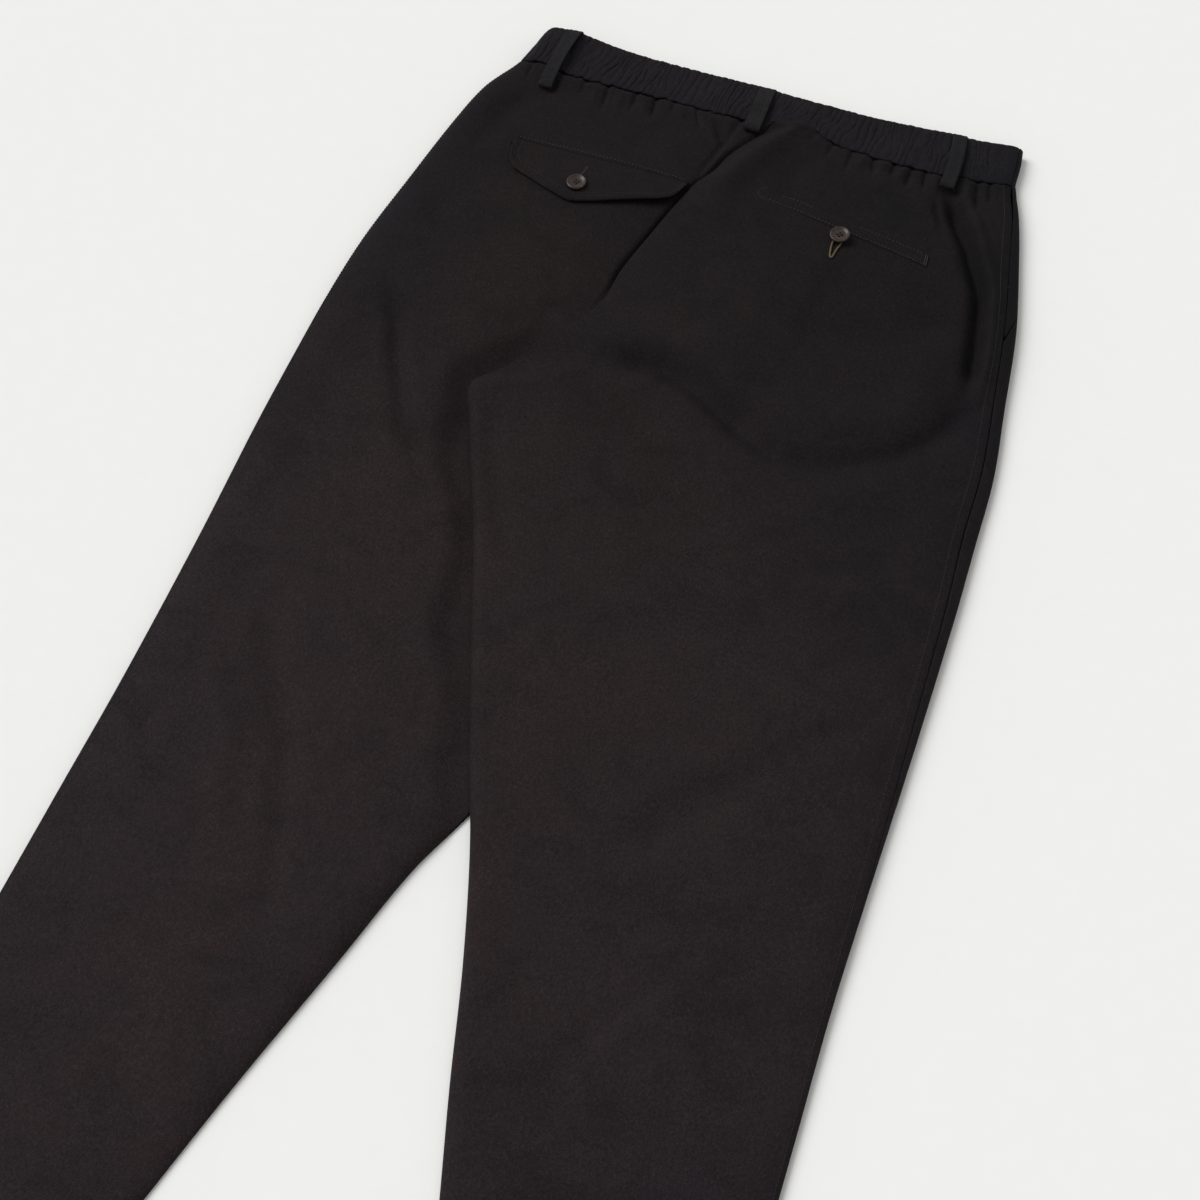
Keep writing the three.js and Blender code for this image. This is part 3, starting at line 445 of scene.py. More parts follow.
def charcoal_twill(name, dark, mid, light, wale=0.45):
    """Brushed cotton twill: steep diagonal wales, uneven yarns, a faint warm and cool drift, and painted light
    and shade: lighter towards the hem and the left, darker towards the waist and the right.
    """
    n = Nodes(name)
    place = n.add("TexCoord").outputs["Object"]
    steep = n.add("Mapping", Vector=place, Rotation=(0.0, 0.0, math.radians(28)))
    wales = n.add("TexWave", Scale=330.0, Distortion=1.1, Detail=2.0, Detail_Scale=2.2)
    n.join(steep.outputs["Vector"], wales.inputs["Vector"])
    wales.wave_type, wales.bands_direction, wales.wave_profile = "BANDS", "X", "SIN"
    yarn = n.add("Mapping", Vector=place, Scale=(1.0, 0.62, 1.0))
    slubs = n.add("TexNoise", Vector=yarn.outputs["Vector"], Scale=560.0, Detail=4.0, Roughness=0.68)
    grain = n.add("TexNoise", Vector=place, Scale=1150.0, Detail=2.0, Roughness=0.6)
    drift = n.add("TexNoise", Vector=place, Scale=9.0, Detail=4.0, Roughness=0.6)
    nap = n.add("TexNoise", Vector=place, Scale=24.0, Detail=7.0, Roughness=0.66, Distortion=0.9)
    axes = n.add("SeparateXYZ", Vector=place)
    speck = n.ramp(grain.outputs["Fac"], [(0.33, (0.6, 0.6, 0.6)), (0.67, (1.4, 1.38, 1.38))])
    tint = n.ramp(drift.outputs["Fac"], [(0.36, (0.91, 0.94, 0.98)), (0.64, (1.09, 1.05, 1.03))])
    rubbed = n.ramp(nap.outputs["Fac"], [
        (0.36, (0.84, 0.86, 0.87)), (0.5, (1.0, 1.0, 1.0)), (0.66, (1.1, 1.08, 1.08)),
    ])
    # Painted light falloff along the length: the colour is made lighter towards the hem and darker towards the
    # waist, as painted shade.
    fade = n.ramp(n.span(axes.outputs["Y"], -0.53, 0.53), [
        (0.0, (1.31, 1.28, 1.35)), (0.3, (1.42, 1.34, 1.38)), (0.52, (1.32, 1.26, 1.26)),
        (0.68, (0.96, 0.98, 0.99)), (0.86, (0.68, 0.74, 0.76)),
    ])
    # Painted light and shade across the width: lighter left of the middle, darker and cooler towards the right
    # side, and cooler at the left edge.
    sides = n.ramp(n.span(axes.outputs["X"], -0.27, 0.27), [
        (0.0, (0.98, 1.05, 1.13)), (0.2, (1.17, 1.14, 1.13)), (0.55, (1.0, 1.0, 1.0)),
        (0.9, (0.84, 0.90, 0.96)),
    ])
    lines = n.ramp(wales.outputs["Fac"], [(0.0, (0.74, 0.74, 0.74)), (0.6, (1.1, 1.1, 1.1))])
    base = n.ramp(slubs.outputs["Fac"], [(0.26, dark), (0.52, mid), (0.78, light)])
    for layer, strength in ((speck, 0.8), (tint, 1.0), (rubbed, 1.0), (fade, 1.0), (sides, 1.0), (lines, wale)):
        base = n.mix("MULTIPLY", strength, base, layer)
    weave = n.add("Bump", Strength=0.35, Distance=0.00022, Height=wales.outputs["Fac"]).outputs["Normal"]
    yarns = n.add("Bump", Strength=0.5, Distance=0.00035, Height=slubs.outputs["Fac"], Normal=weave)
    rough = n.span(slubs.outputs["Fac"], 0, 1, 0.82, 0.98)
    n.shade(Base_Color=base, Roughness=rough, Specular_IOR_Level=0.1, Normal=yarns.outputs["Normal"])
    return n.material


leg_twill = charcoal_twill(
    "leg_twill", (0.0088, 0.0070, 0.0074), (0.0140, 0.0108, 0.0112), (0.0215, 0.0165, 0.0168)
)


def dress(piece, material, node):
    piece.data.materials.append(material)
    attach(piece, "root")
    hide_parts(node)


def raised(grid, lift):
    return grid + facing_of(grid) * lift[..., None]


left_grid = left_back_grid()
HEM_DEEP = 30.6
turned_up = 0.45 * ease(leg_downs[:, None] - (HEM - HEM_DEEP), 1.2)
left_grid = raised(left_grid, felled_seam(left_grid, 1) + turned_up)
left_back = cloth_wall("left_back_leg", left_grid)
dress(left_back, leg_twill, "back_left")

# Right back leg: the same panel for the right side. Its seat folds over the left one along the
# centre back, and its leg lies across the left leg, so its inner fold is free on top.
RIGHT_SWELLS = [(9, 95, 215, 90, 80), (4, 30, 120, 45, 60)]
RIGHT_CREASES = [
    (-10.4, 11.5, [(-32, 312), (6, 308), (41, 320), (72, 341), (90, 354)]),
    (-5.6, 9.5, [(84, 352), (110, 363), (148, 357), (191, 333), (213, 306), (229, 275)]),
    (2.2, 9, [(-20, 326), (22, 330), (60, 352), (92, 372), (140, 374)]),
    (5, 18, [(10, 270), (71, 318), (131, 326), (183, 304), (205, 270)]),
    (3, 16, [(40, 352), (90, 388), (150, 386), (205, 358)]),
    (-11.5, 7.2, [(158, 72), (170, 103), (184, 125), (206, 170), (216, 222), (221, 262)]),
    (6.2, 5, [(174, 84), (193, 124), (214, 170), (225, 222), (229, 262)]),
    (-3.4, 3.4, [(148, 78), (153, 98), (164, 122)]),
    (7, 13, [(26, 60), (14, 84), (0, 118), (-8, 150)]),
    (-1.9, 8, [(-97, 376), (-80, 420), (-52, 479), (-30, 515)]),
    (-3.8, 11, [(12, 436), (60, 428), (105, 432)]),
    (-4.6, 14, [(226, 560), (147, 648), (112, 696)]),
    (-3.0, 12, [(135, 458), (167, 448), (200, 440)]),
    (2.0, 10, [(120, 476), (165, 468), (205, 458)]),
    (-2.4, 8, [(146, 550), (167, 561), (184, 570)]),
    (-2.5, 9, [(183, 757), (153, 805), (122, 845)]),
    (1.7, 9, [(200, 742), (168, 800), (140, 850)]),
    (-1.8, 14, [(78, 254), (138, 250), (198, 202)]),
    (-2.0, 9, [(48, 88), (40, 110), (44, 140)]),
    (-1.5, 7, [(-14, 240), (4, 262), (34, 276)]),
    (-2.0, 8, [(66, 600), (100, 612), (140, 604)]),
    (-1.7, 8, [(95, 900), (140, 915), (200, 905)]),
    (1.4, 8, [(110, 960), (160, 985), (215, 975)]),
]
RIGHT_GATHERS = gathers([
    (-1.6, 2.0, 75, 77, 80), (-2.0, 2.2, 92, 97, 72), (-2.4, 2.0, 109, 110, 66), (-2.6, 2.2, 123, 124, 76),
    (-2.2, 1.8, 133, 137, 73), (-1.6, 2.0, 60, 58, 70), (-3.2, 2.7, 173, 181, 90),
    (-2.2, 2.2, 182, 188, 76), (-1.4, 1.8, 45, 42, 64), (1.9, 3.6, 84, 86, 72), (1.9, 3.4, 116, 117, 70),
    (1.9, 3.9, 142, 146, 72), (1.6, 3.4, 101, 102, 66), (2.6, 3.6, 166, 172, 84), (2.2, 6.0, 30, 24, 70),
])
# What shows through of the pocket bag behind the welt
BAG_MARKS = [
    (0.7, 1.6, [(95, 89), (110, 90), (122, 88), (148, 90), (158, 101), (159, 110), (152, 120)]),
    (-0.5, 1.8, [(96, 127), (125, 132), (155, 137)]),
]


def right_cloth(across, down):
    free = edge_at["right_top"](down) + swells(RIGHT_SWELLS, across, down)
    free = free + creases(RIGHT_CREASES, across, down)
    free = free + hand(across, down, 31) + creases(BAG_MARKS, across, down)
    opened = blend(band_height(across), free, ease(down - WAIST_SEAM, 18))
    return opened + creases(RIGHT_GATHERS, across, down) + seam_tuck(across, down)


OVER_LEFT_LEG = PRESSED + 1.7


def right_front_cloth(across, down):
    over = ease(inner_at["front"](down) + 32 - across, 30) * ease(down - 285, 25)
    return blend(FLOOR_LAYER, OVER_LEFT_LEG, over)


def right_back_height(across, down):
    """The panel's own lie, brought down at its folded edge onto what is under it."""
    edge = crossing_at["across"](down)
    on_leg = ease(down - ON_LEG, 27)
    spots = [left_cloth(edge + under + 0 * across, down + 0 * across) for under in (0.5, 3, 6, 9)]
    below = np.max(spots, axis=0)
    rest = blend(below, right_front_cloth(edge, down), on_leg) + BETWEEN
    full = right_cloth(across, down)
    melted = ease(down - 250, 45) * (1 - ease(down - 340, 26))
    round_over = crossing_at["round"](down)
    crisp = quarter_round(across - edge, round_over)
    rise = blend(crisp, ease(across - edge, round_over * 1.3), melted)
    held_up = np.maximum(full, blend(rest, full, ease(across - edge - 16, 26)))
    return blend(rest - 0.55 * melted, held_up, rise)


def right_back_grid():
    d = leg_downs[:, None]
    low = d + hang(d, RIGHT_DROP)
    inner = crossing_at["across"](low)
    insets = INNER_INSETS[::-1][None, :]
    across = inner + insets
    stop = edge_at["right"](d) - edge_at["turn"](d)
    slope = (low - d) / (inner - stop)
    at = d + slope * (across - stop)
    edge = np.stack([across, -at, right_back_height(across, at)], axis=-1)
    tucked = edge[:, :1] + np.array([-0.35, 0, -0.6])
    start = inner + INNER_INSETS[0]
    t = np.linspace(0, 1, 160)[None, 1:]
    across = blend(start, stop, t)
    at = d + slope * (across - stop)
    flat = np.stack([across, -at, right_back_height(across, at)], axis=-1)
    seam = edge_at["seam"](d) + 2.2
    turns = blend(88, seam, np.linspace(0, 1, 20)[None, 1:])
    fold = fold_point(1, d + 0 * turns, turns, right_cloth)
    grid = np.concatenate([tucked, edge, flat, fold], axis=1)
    hang_from_seam(grid, d)
    return grid


right_grid = right_back_grid()
right_grid = raised(right_grid, felled_seam(right_grid, -1) + turned_up)
right_back = cloth_wall("right_back_leg", right_grid)
dress(right_back, leg_twill, "back_right")

# Front legs: two plain panels underneath. The right one runs up round the right side to its
# felled seam and is cut away in a slant at the pocket mouth; its leg climbs over the left leg.
MOUTH_FOOT, MOUTH_IN = 206.0, 52.0


def mouth_at(down):
    return np.maximum(0, MOUTH_IN * (MOUTH_FOOT - down) / (MOUTH_FOOT - WAIST_SEAM))


def cut_at(down):
    mouth = float(mouth_at(down))
    return mouth + 0.8 if mouth > 0 else 0.0


def side_fold(side, down, seam):
    """The line from the side seam down round the outer fold to the floor."""
    turns = np.linspace(seam, -90, 60)
    return fold_point(side, np.full(60, down), turns, left_cloth if side < 0 else right_cloth)


def side_walk(side, down, seam, distances):
    """Points at these distances from the side seam, round the fold and in along the floor."""
    line = side_fold(side, down, seam)
    walked = walk(line, distances)
    walked[:, 0] -= side * np.maximum(0, distances - run_of(line)[-1])
    return walked


front_downs = np.concatenate([
    np.arange(WAIST_SEAM, 230, 3.0), np.arange(230, 400, 4.0), np.arange(400, HEM, 6.0), [HEM],
])


def right_front_grid():
    rows = []
    for d in front_downs:
        low = d + float(hang(d, RIGHT_DROP))
        inner = float(blend(0.15, crossing_at["across"](low) + 0.4, ease(d - ON_LEG, 27)))
        foot = float(inner_at["front"](low)) + 2
        cut = cut_at(d)
        seam = float(edge_at["seam"](d))
        turned = max(cut + 8, run_of(side_fold(1, d, seam))[-1])
        side = side_walk(1, d, seam, np.linspace(turned + 30, cut, 40))
        stop = side[0, 0]
        climb_to = min(max(foot + 32, inner + 8), stop - 8)
        climb_from = min(max(foot - 2, inner + 4), climb_to - 4)
        across = np.concatenate([
            np.linspace(inner, climb_from, 26)[:-1], np.linspace(climb_from, climb_to, 18)[:-1],
            np.linspace(climb_to, stop, 22)[:-1],
        ])
        at = blend(low, d, (across - inner) / (stop - inner))
        flat = np.stack([across, -at, right_front_cloth(across, at)], axis=1)
        rows.append(np.concatenate([flat, side]))
    return np.array(rows)


front_right = cloth_wall("right_front_leg", right_front_grid())
dress(front_right, leg_twill, "front_right")


def left_front_grid():
    rows = []
    for d in front_downs:
        low = d + float(hang(d, LEFT_DROP))
        cut = cut_at(d)
        reach = max(cut, run_of(side_fold(-1, d, LEFT_SEAM_TURN - 3))[-1]) + 8
        side = side_walk(-1, d, LEFT_SEAM_TURN - 3, np.linspace(cut, reach, 16))
        stop = float(inner_at["front"](low)) - (0.15 if d < CROTCH else 0.0)
        across = np.linspace(side[-1, 0], stop, 40)[1:]
        at = blend(d, low, np.linspace(0, 1, 40)[1:])
        flat = np.stack([across, -at, FLOOR_LAYER + 0 * across], axis=1)
        rows.append(np.concatenate([side, flat]))
    return np.array(rows)


front_left = cloth_wall("left_front_leg", left_front_grid())
dress(front_left, leg_twill, "front_left")

# Pocket facings: the strip of twill that shows inside each slanted front pocket mouth, from
# the side seam to the mouth. It lies just under the front's cut edge.
facing_downs = np.linspace(WAIST_SEAM, MOUTH_FOOT - 3, 60)


def facing_grid(side):
    rows = []
    for d in facing_downs:
        seam = LEFT_SEAM_TURN - 3 if side < 0 else float(edge_at["seam"](d))
        points = side_walk(side, d, seam, np.linspace(0, float(mouth_at(d)), 24))
        rows.append(points if side < 0 else points[::-1])
    return np.array(rows)


for side, word in ((-1, "left"), (1, "right")):
    facing = cloth_wall(f"{word}_pocket_facing", facing_grid(side), thick=0.8)
    dress(facing, leg_twill, f"pocket_facing_{word}")

# Waistband: the back half is drawn up over sewn-in elastic, so its twill stands in about seventy
# uneven ripples that run from edge to edge and fade at the side seams. The front half is smooth.
BAND_FOOT = 48.6
BAND_TOP = 12.0
BAND_THICK = 2.6
FRONT_BAND_THICK, FRONT_BAND_MIDDLE = 1.8, 1.0
RIPPLES = 68
BAND_COLUMNS = RIPPLES * 14
band_top = smooth_line(
    [-205, -180, -156, -135, -110, -76, -35, -15, 4, 22, 86, 140, 165, 205],
    [12.0, 11.0, 9.5, 9.8, 11.4, 12.4, 13.0, 12.8, 14.0, 14.9, 16.2, 13.8, 16.0, 10.8],
)


def band_foot(across):
    return BAND_FOOT + seam_hang(across) + seam_wave(across)


def band_sink(across, depth):
    """The band is thinner at its upper edge, away from the sides."""
    return 3 * (1 - depth) * ease(across + 172, 40) * ease(172 - across, 40)


def band_point(side, down, turn, foot):
    """A point of the band on the round side fold, as fold_point gives one of a leg."""
    swing = np.radians(turn)
    reach = np.where(np.asarray(turn) > 0, edge_at["turn"](down), 8.0) * (1 - np.cos(swing))
    flare = 2.4 * (1 - ease(down - 22, 26))
    across = edge_at["left"](down) + reach if side < 0 else edge_at["right"](down) + flare - reach
    belly = edge_at["belly"](down)
    rest = np.where(np.asarray(turn) > 0, band_height(across) - belly, belly - foot)
    return np.stack(np.broadcast_arrays(across, -down + 0 * across, belly + rest * np.sin(swing)), axis=-1)


def back_band_grid(depths):
    rows = []
    for depth in depths:
        d = float(blend(BAND_TOP, BAND_FOOT, depth))
        left = band_point(-1, np.full(30, d), np.linspace(-59, 90, 30), BAND_THICK / 2)
        start = edge_at["left"](d) + edge_at["turn"](d)
        stop = edge_at["right"](d) - edge_at["turn"](d)
        across = np.linspace(start, stop, 160)[1:]
        top = np.stack([across, -d + 0 * across, band_height(across) - band_sink(across, depth)], axis=1)
        turns = np.linspace(90, float(edge_at["seam"](d)) + 4, 14)
        right = band_point(1, np.full(14, d), turns, BAND_THICK / 2)[1:]
        line = np.concatenate([left, top, right])
        line = walk(line, np.linspace(0, run_of(line)[-1], BAND_COLUMNS))
        line[:, 1] = -blend(band_top(line[:, 0]), band_foot(line[:, 0]), depth)
        rows.append(line)
    return np.array(rows)


def ripple(along, depth):
    """Rounded ridges with sharp valleys; each has its own depth, length, slant and side branch."""
    fade = ease(along, 0.05) * ease(1 - along, 0.06)
    wander = 0.55 * patches(along * 46, depth * 2.2 + 0.3, 41) + 0.6 * patches(along * 13, depth * 1.1, 42)
    slant = 0.9 * (depth - 0.5) * patches(along * 9, 0.5, 46)
    phase = math.pi * (RIPPLES * along + wander + slant)
    valley = np.abs(np.sin(phase)) ** 0.7
    depth_of = 0.66 + 0.5 * patches(along * RIPPLES * 0.9, depth * 3.1, 43)
    second = np.abs(np.sin(1.7 * phase + 2.6 * patches(along * 26, depth * 3.5, 44)))
    mixed = ease(patches(along * 33, depth * 2.6, 47) + 0.25, 0.6)
    edge = 0.6 + 0.4 * np.sin(math.pi * np.clip(depth, 0, 1)) ** 0.6
    puckers = 0.28 * patches(along * 95, depth * 8, 45) + 0.16 * patches(along * 190, depth * 15, 48)
    return fade * (edge * 1.5 * depth_of * (blend(valley, second, 0.55 * mixed) - 0.6) + puckers)


band_depths = np.linspace(0, 1, 26)
band_grid = back_band_grid(band_depths)
along = np.linspace(0, 1, BAND_COLUMNS)[None, :]
depth = band_depths[:, None]
roll = -0.5 * bell(1 - depth, 0.05) - 0.5 * bell(depth, 0.04)
band_grid = raised(band_grid, ripple(along, depth) + roll + 0 * along)
back_band = cloth_wall("back_waistband", band_grid, thick=BAND_THICK - 0.6)
band_twill = charcoal_twill(
    "band_twill", (0.0111, 0.0089, 0.0107), (0.0169, 0.0134, 0.0157), (0.0250, 0.0196, 0.0228), wale=0.3
)
dress(back_band, band_twill, "waistband_back")


def front_band_grid():
    rows = []
    for depth in np.linspace(0, 1, 10):
        d = float(blend(BAND_TOP, BAND_FOOT, depth))
        turns = np.linspace(float(edge_at["seam"](d)), -90, 26)
        right = band_point(1, np.full(26, d), turns, FRONT_BAND_MIDDLE)
        left = band_point(-1, np.full(8, d), np.linspace(-90, -66, 8), FRONT_BAND_MIDDLE)
        across = np.linspace(right[-1, 0], left[0, 0], 60)[1:-1]
        floor = np.stack([across, -d + 0 * across, FRONT_BAND_MIDDLE + 0 * across], axis=1)
        line = np.concatenate([right, floor, left])[::-1]
        line[:, 1] = -blend(band_top(line[:, 0]), BAND_FOOT + seam_hang(line[:, 0]), depth)
        rows.append(line)
    return np.array(rows)


front_band = cloth_wall("front_waistband", front_band_grid(), thick=FRONT_BAND_THICK)
dress(front_band, band_twill, "waistband_front")

# Side seams and hems: rows of lock stitches in matching thread. Each stitch is a short rounded
# bar that dips into the twill at both ends.
SIDE_ROW_IN, HEM_ROW_UP = 6.4, 29.5
STITCH_PITCH, STITCH_LIFT = 2.9, 0.12
# Along a stitch, its place, its roundness and how far it stands up
STITCH_RINGS = [(-1, 0.3, -0.16), (-0.62, 0.9, 0.1), (0.62, 0.9, 0.1), (1, 0.3, -0.16)]


def tree_of(piece):
    mesh = piece.data
    return BVHTree.FromPolygons([v.co for v in mesh.vertices], [tuple(p.vertices) for p in mesh.polygons])


on_left, on_right = tree_of(left_back), tree_of(right_back)


def on_cloth(tree, across, down):
    """The top of the cloth under a point, and which way it faces, in metres."""
    hit, normal, _, _ = tree.ray_cast(Vector((*spot_at(across, down), 0.2)), Vector((0, 0, -1)))
    if hit is None:
        return None
    return np.array(hit), np.array(normal)


def resample(points, step):
    points = np.array(points, float)
    return walk(points, np.arange(step / 2, run_of(points)[-1], step))


def ring_faces(index):
    """Faces of a closed tube whose points are numbered by ring and place."""
    after = np.roll(index, -1, axis=1)
    sides = np.stack([index[:-1], after[:-1], after[1:], index[1:]], axis=-1).reshape(-1, 4)
    return sides.tolist() + [index[0, ::-1].tolist(), index[-1].tolist()]


def stitch_bars(name, seats, material, long=2.3, wide=0.5):
    """Joined stitches at seats (point, way along, facing), in metres and unit lengths."""
    points, faces = [], []
    numbers = np.arange(24).reshape(4, 6)[:, ::-1]
    for place, way, facing in seats:
        way = way / np.linalg.norm(way)
        facing = facing - way * np.dot(facing, way)
        facing = facing / max(np.linalg.norm(facing), 1e-9)
        side = np.cross(way, facing)
        faces += ring_faces(len(points) + numbers)
        for t, r, lift in STITCH_RINGS:
            centre = place + way * t * long / 2000 + facing * lift * wide / 1000
            for angle in np.arange(6) * math.pi / 3:
                c, s = math.cos(angle), math.sin(angle)
                points.append(tuple(centre + (side * c * r + facing * s * r * 0.8) * wide / 2000))
    piece = new_piece(name, points, faces)
    piece.data.materials.append(material)
    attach(piece, "root")


def seats_on(tree, line, pitch=STITCH_PITCH, lift=STITCH_LIFT):
    """Stitch seats along a line of across and down on the cloth's top."""
    hits = [on_cloth(tree, *spot) for spot in resample(line, pitch)]
    seats = []
    for i, hit in enumerate(hits):
        before, after = hits[max(i - 1, 0)], hits[min(i + 1, len(hits) - 1)]
        if hit and before and after:
            seats.append((hit[0] + hit[1] * lift / 1000, after[0] - before[0], hit[1]))
    return seats


def seats_in_grid(grid, from_edge, order):
    """Stitch seats at one distance in from a grid's left edge (order 1) or right edge (-1)."""
    path = []
    for row, face in zip(grid[:, ::order], facing_of(grid)[:, ::order]):
        way = walk(row, from_edge, face)
        path.append([*(walk(row, from_edge) + way * (TWILL_THICK / 2 + STITCH_LIFT)), *way])
    path = resample(path, STITCH_PITCH)
    spots = in_frame(path[:, :3])
    ways = [spots[min(i + 1, len(spots) - 1)] - spots[max(i - 1, 0)] for i in range(len(spots))]
    return list(zip(spots, ways, path[:, 3:]))


def sewing_thread(name, colour):
    n = Nodes(name)
    twist = n.add("TexNoise", Vector=n.add("TexCoord").outputs["Object"], Scale=2600.0, Detail=2.0)
    dark, light = (tuple(c * share for c in colour) for share in (0.7, 1.3))
    tone = n.ramp(twist.outputs["Fac"], [(0.3, dark), (0.7, light)])
    bump = n.add("Bump", Strength=0.4, Distance=0.0001, Height=twist.outputs["Fac"])
    n.shade(Base_Color=tone, Roughness=0.62, Specular_IOR_Level=0.35, Normal=bump.outputs["Normal"])
    return n.material


charcoal_thread = sewing_thread("charcoal_thread", (0.0135, 0.0115, 0.0125))
worn_thread = sewing_thread("worn_thread", (0.039, 0.036, 0.038))
side_stitches = seats_in_grid(right_grid, SIDE_ROW_IN, -1) + seats_in_grid(left_grid, SIDE_ROW_IN, 1)
stitch_bars("side_seam_stitches", side_stitches, charcoal_thread)
hem_stitches = []
for tree, start, stop, first_drop, last_drop in (
    (on_left, -244, -94, 0, LEFT_DROP - 1), (on_right, 122, 272, RIGHT_DROP - 1, 0),
):
    hem_line = [(blend(start, stop, t), HEM - HEM_ROW_UP + blend(first_drop, last_drop, t)) for t in (0, 1)]
    hem_stitches += seats_on(tree, hem_line)
stitch_bars("hem_stitches", hem_stitches, charcoal_thread)
# A short row on the band's right end, where the elastic is caught down
band_tree = tree_of(back_band)
end_stitches = seats_on(band_tree, [(168, 41), (180, 40), (192, 38)], pitch=2.4)
stitch_bars("elastic_end_stitches", end_stitches, charcoal_thread)

# Flap of the left back pocket: two layers of twill cut with a shallow point, turned out and
# stitched close to the edge, sewn down along its top and free below, where it lifts a little.
FLAP_TOP = 132.0
FLAP_LEFT, FLAP_RIGHT = -170, -31
FLAP_FOOT = [
    (FLAP_LEFT, 139), (-167.5, 148), (-165, 157), (-160, 163.5), (-148, 168), (-129, 176), (-115, 181),
    (-109, 182.5), (-103, 181.2), (-87, 175.5), (-65, 167), (-46, 159.5), (-38, 155), (-34, 148),
    (FLAP_RIGHT, 139),
]
FLAP_THICK = 1.9


def cover(tree, across, down, around, lift):
    """Lowest height in millimetres that clears the cloth all round a point."""
    top = -np.inf
    for a, d in ((0, 0), (around, 0), (-around, 0), (0, around), (0, -around)):
        hit = on_cloth(tree, across + a, down + d)
        if hit is not None:
            top = max(top, hit[0][2] * 1000)
    return top + lift


def rest_on(tree, a, d, around, lift, times):
    """How high a piece rests on the cloth at each point of its grid, with the dips filled in."""
    spots = zip(a.ravel(), d.ravel())
    field = np.array([cover(tree, across, down, around, lift) for across, down in spots]).reshape(a.shape)
    for _ in range(times):
        p = np.pad(field, 1, mode="edge")
        around_it = p[1:-1, 1:-1] * 4 + p[:-2, 1:-1] + p[2:, 1:-1] + p[1:-1, :-2] + p[1:-1, 2:]
        field = np.maximum(field, around_it / 8)
    return field


def flap_grid():
    foot = np.array(FLAP_FOOT, float)
    across = np.linspace(FLAP_LEFT, FLAP_RIGHT, 94)
    low = np.interp(across, foot[:, 0], foot[:, 1])
    t = np.linspace(0, 1, 44)[:, None] ** 1.35
    a = across[None, :] + 0 * t
    d = blend(FLAP_TOP, low[None, :], t)
    base = rest_on(on_left, a, d, around=2.5, lift=0.35, times=6)
    free = t * ease(a + 125, 85)
    curl = 3.4 * free + 1.3 * t**3 * ease(-150 - a, 20) + 1.2 * t**2 * ease(a + 60, 25)
    rim = np.minimum(np.minimum(low[None, :] - d, a - FLAP_LEFT), FLAP_RIGHT - a)
    turned_edge = 0.45 * bell(rim - 3.2, 2.4) - 0.35 * bell(rim - 6.4, 0.9) - 0.5 * bell(rim, 0.8)
    sewn_top = -1.35 * bell(d - FLAP_TOP - 1.5, 0.9) - 0.4 * bell(d - FLAP_TOP, 0.6)
    uneven = 0.25 * patches(a / 14, d / 9, 51)
    return np.stack([a, -d, base + FLAP_THICK / 2 + curl + turned_edge + sewn_top + uneven], axis=-1)


flap = cloth_wall("left_pocket_flap", flap_grid(), thick=FLAP_THICK)
dress(flap, leg_twill, "pocket_flap")
on_flap = tree_of(flap)
flap_middle = (FLAP_LEFT + FLAP_RIGHT) / 2
inset = [(blend(flap_middle, a, 0.92), blend(FLAP_TOP, d, 0.845) - 0.2) for a, d in FLAP_FOOT[1:-1]]
flap_stitches = seats_on(on_flap, [(-163.5, 134)] + inset + [(-37.5, 134)])
stitch_bars("flap_stitches", flap_stitches, charcoal_thread, long=1.9)
top_stitches = seats_on(on_left, [(-168, 128.9), (-129, 128.5), (-87, 128.5), (-34, 128.9)])
stitch_bars("flap_top_stitches", top_stitches, worn_thread, long=1.5, wide=0.6)

# Welt of the right back pocket: a straight strip of twill stitched down along both long edges
# and bar-tacked at its ends.
WELT_LEFT, WELT_RIGHT, WELT_DEEP, WELT_THICK = (28, 130), (161, 155), 13.6, 0.8


def welt_spot(t, s):
    """Across and down at t along the welt and s of its depth below its middle."""
    across, down = (blend(left, right, t) for left, right in zip(WELT_LEFT, WELT_RIGHT))
    return across + s * 1.5, down + s * WELT_DEEP


def welt_grid():
    t = np.linspace(0, 1, 90)[None, :]
    s = np.linspace(-0.5, 0.5, 20)[:, None]
    a, d = welt_spot(t, s)
    base = rest_on(on_right, a, d, around=0.8, lift=0.0, times=2)
    base = base - 0.15 - 0.75 * (1 - ease(t - 0.02, 0.3) * ease(s + 0.6, 0.5))
    rim = (0.5 - np.abs(s) + 0 * t) * WELT_DEEP
    edge = -0.35 * bell(rim, 0.7) - 0.22 * bell(rim - 2, 0.6)
    return np.stack([a, -d, base + WELT_THICK / 2 + edge + 0.15 * patches(a / 11, d / 8, 61)], axis=-1)


welt = cloth_wall("right_pocket_welt", welt_grid(), thick=WELT_THICK)
dress(welt, leg_twill, "pocket_welt")
on_welt = tree_of(welt)
welt_stitches = []
for s, start, stop in ((0.38, 0.03, 1.0), (-0.36, 0.1, 0.3), (-0.36, 0.58, 0.96)):
    welt_stitches += seats_on(on_welt, [welt_spot(t, s) for t in np.linspace(start, stop, 12)])
left_bar = [(31, 137.6), (26.5, 136), (23.5, 132.6), (23.2, 128.8), (25.4, 125.8), (29, 125)]
welt_stitches += seats_on(on_right, left_bar, pitch=2.6)
for t in (0.982, 0.994):
    a, d = welt_spot(t, 0)
    welt_stitches += seats_on(on_welt, [(a - 0.6, d - 5.4), (a + 0.6, d + 5.4)], pitch=1.1)
stitch_bars("welt_stitches", welt_stitches, worn_thread, long=1.4)

# Belt loops: folded straps of twill, stitched along both edges. Each hooks over the band's
# upper edge, runs down over the ripples and is turned under and tacked below the waist seam.
LOOP_WIDE, LOOP_THICK, LOOP_ROW = 11.4, 1.6, 3.1


def smoothed(line, times):
    for _ in range(times):
        line[1:-1] = (line[:-2] + 2 * line[1:-1] + line[2:]) / 4
    return line


def ways_along(line):
    ways = np.gradient(line, axis=0)
    return ways / np.linalg.norm(ways, axis=1, keepdims=True)


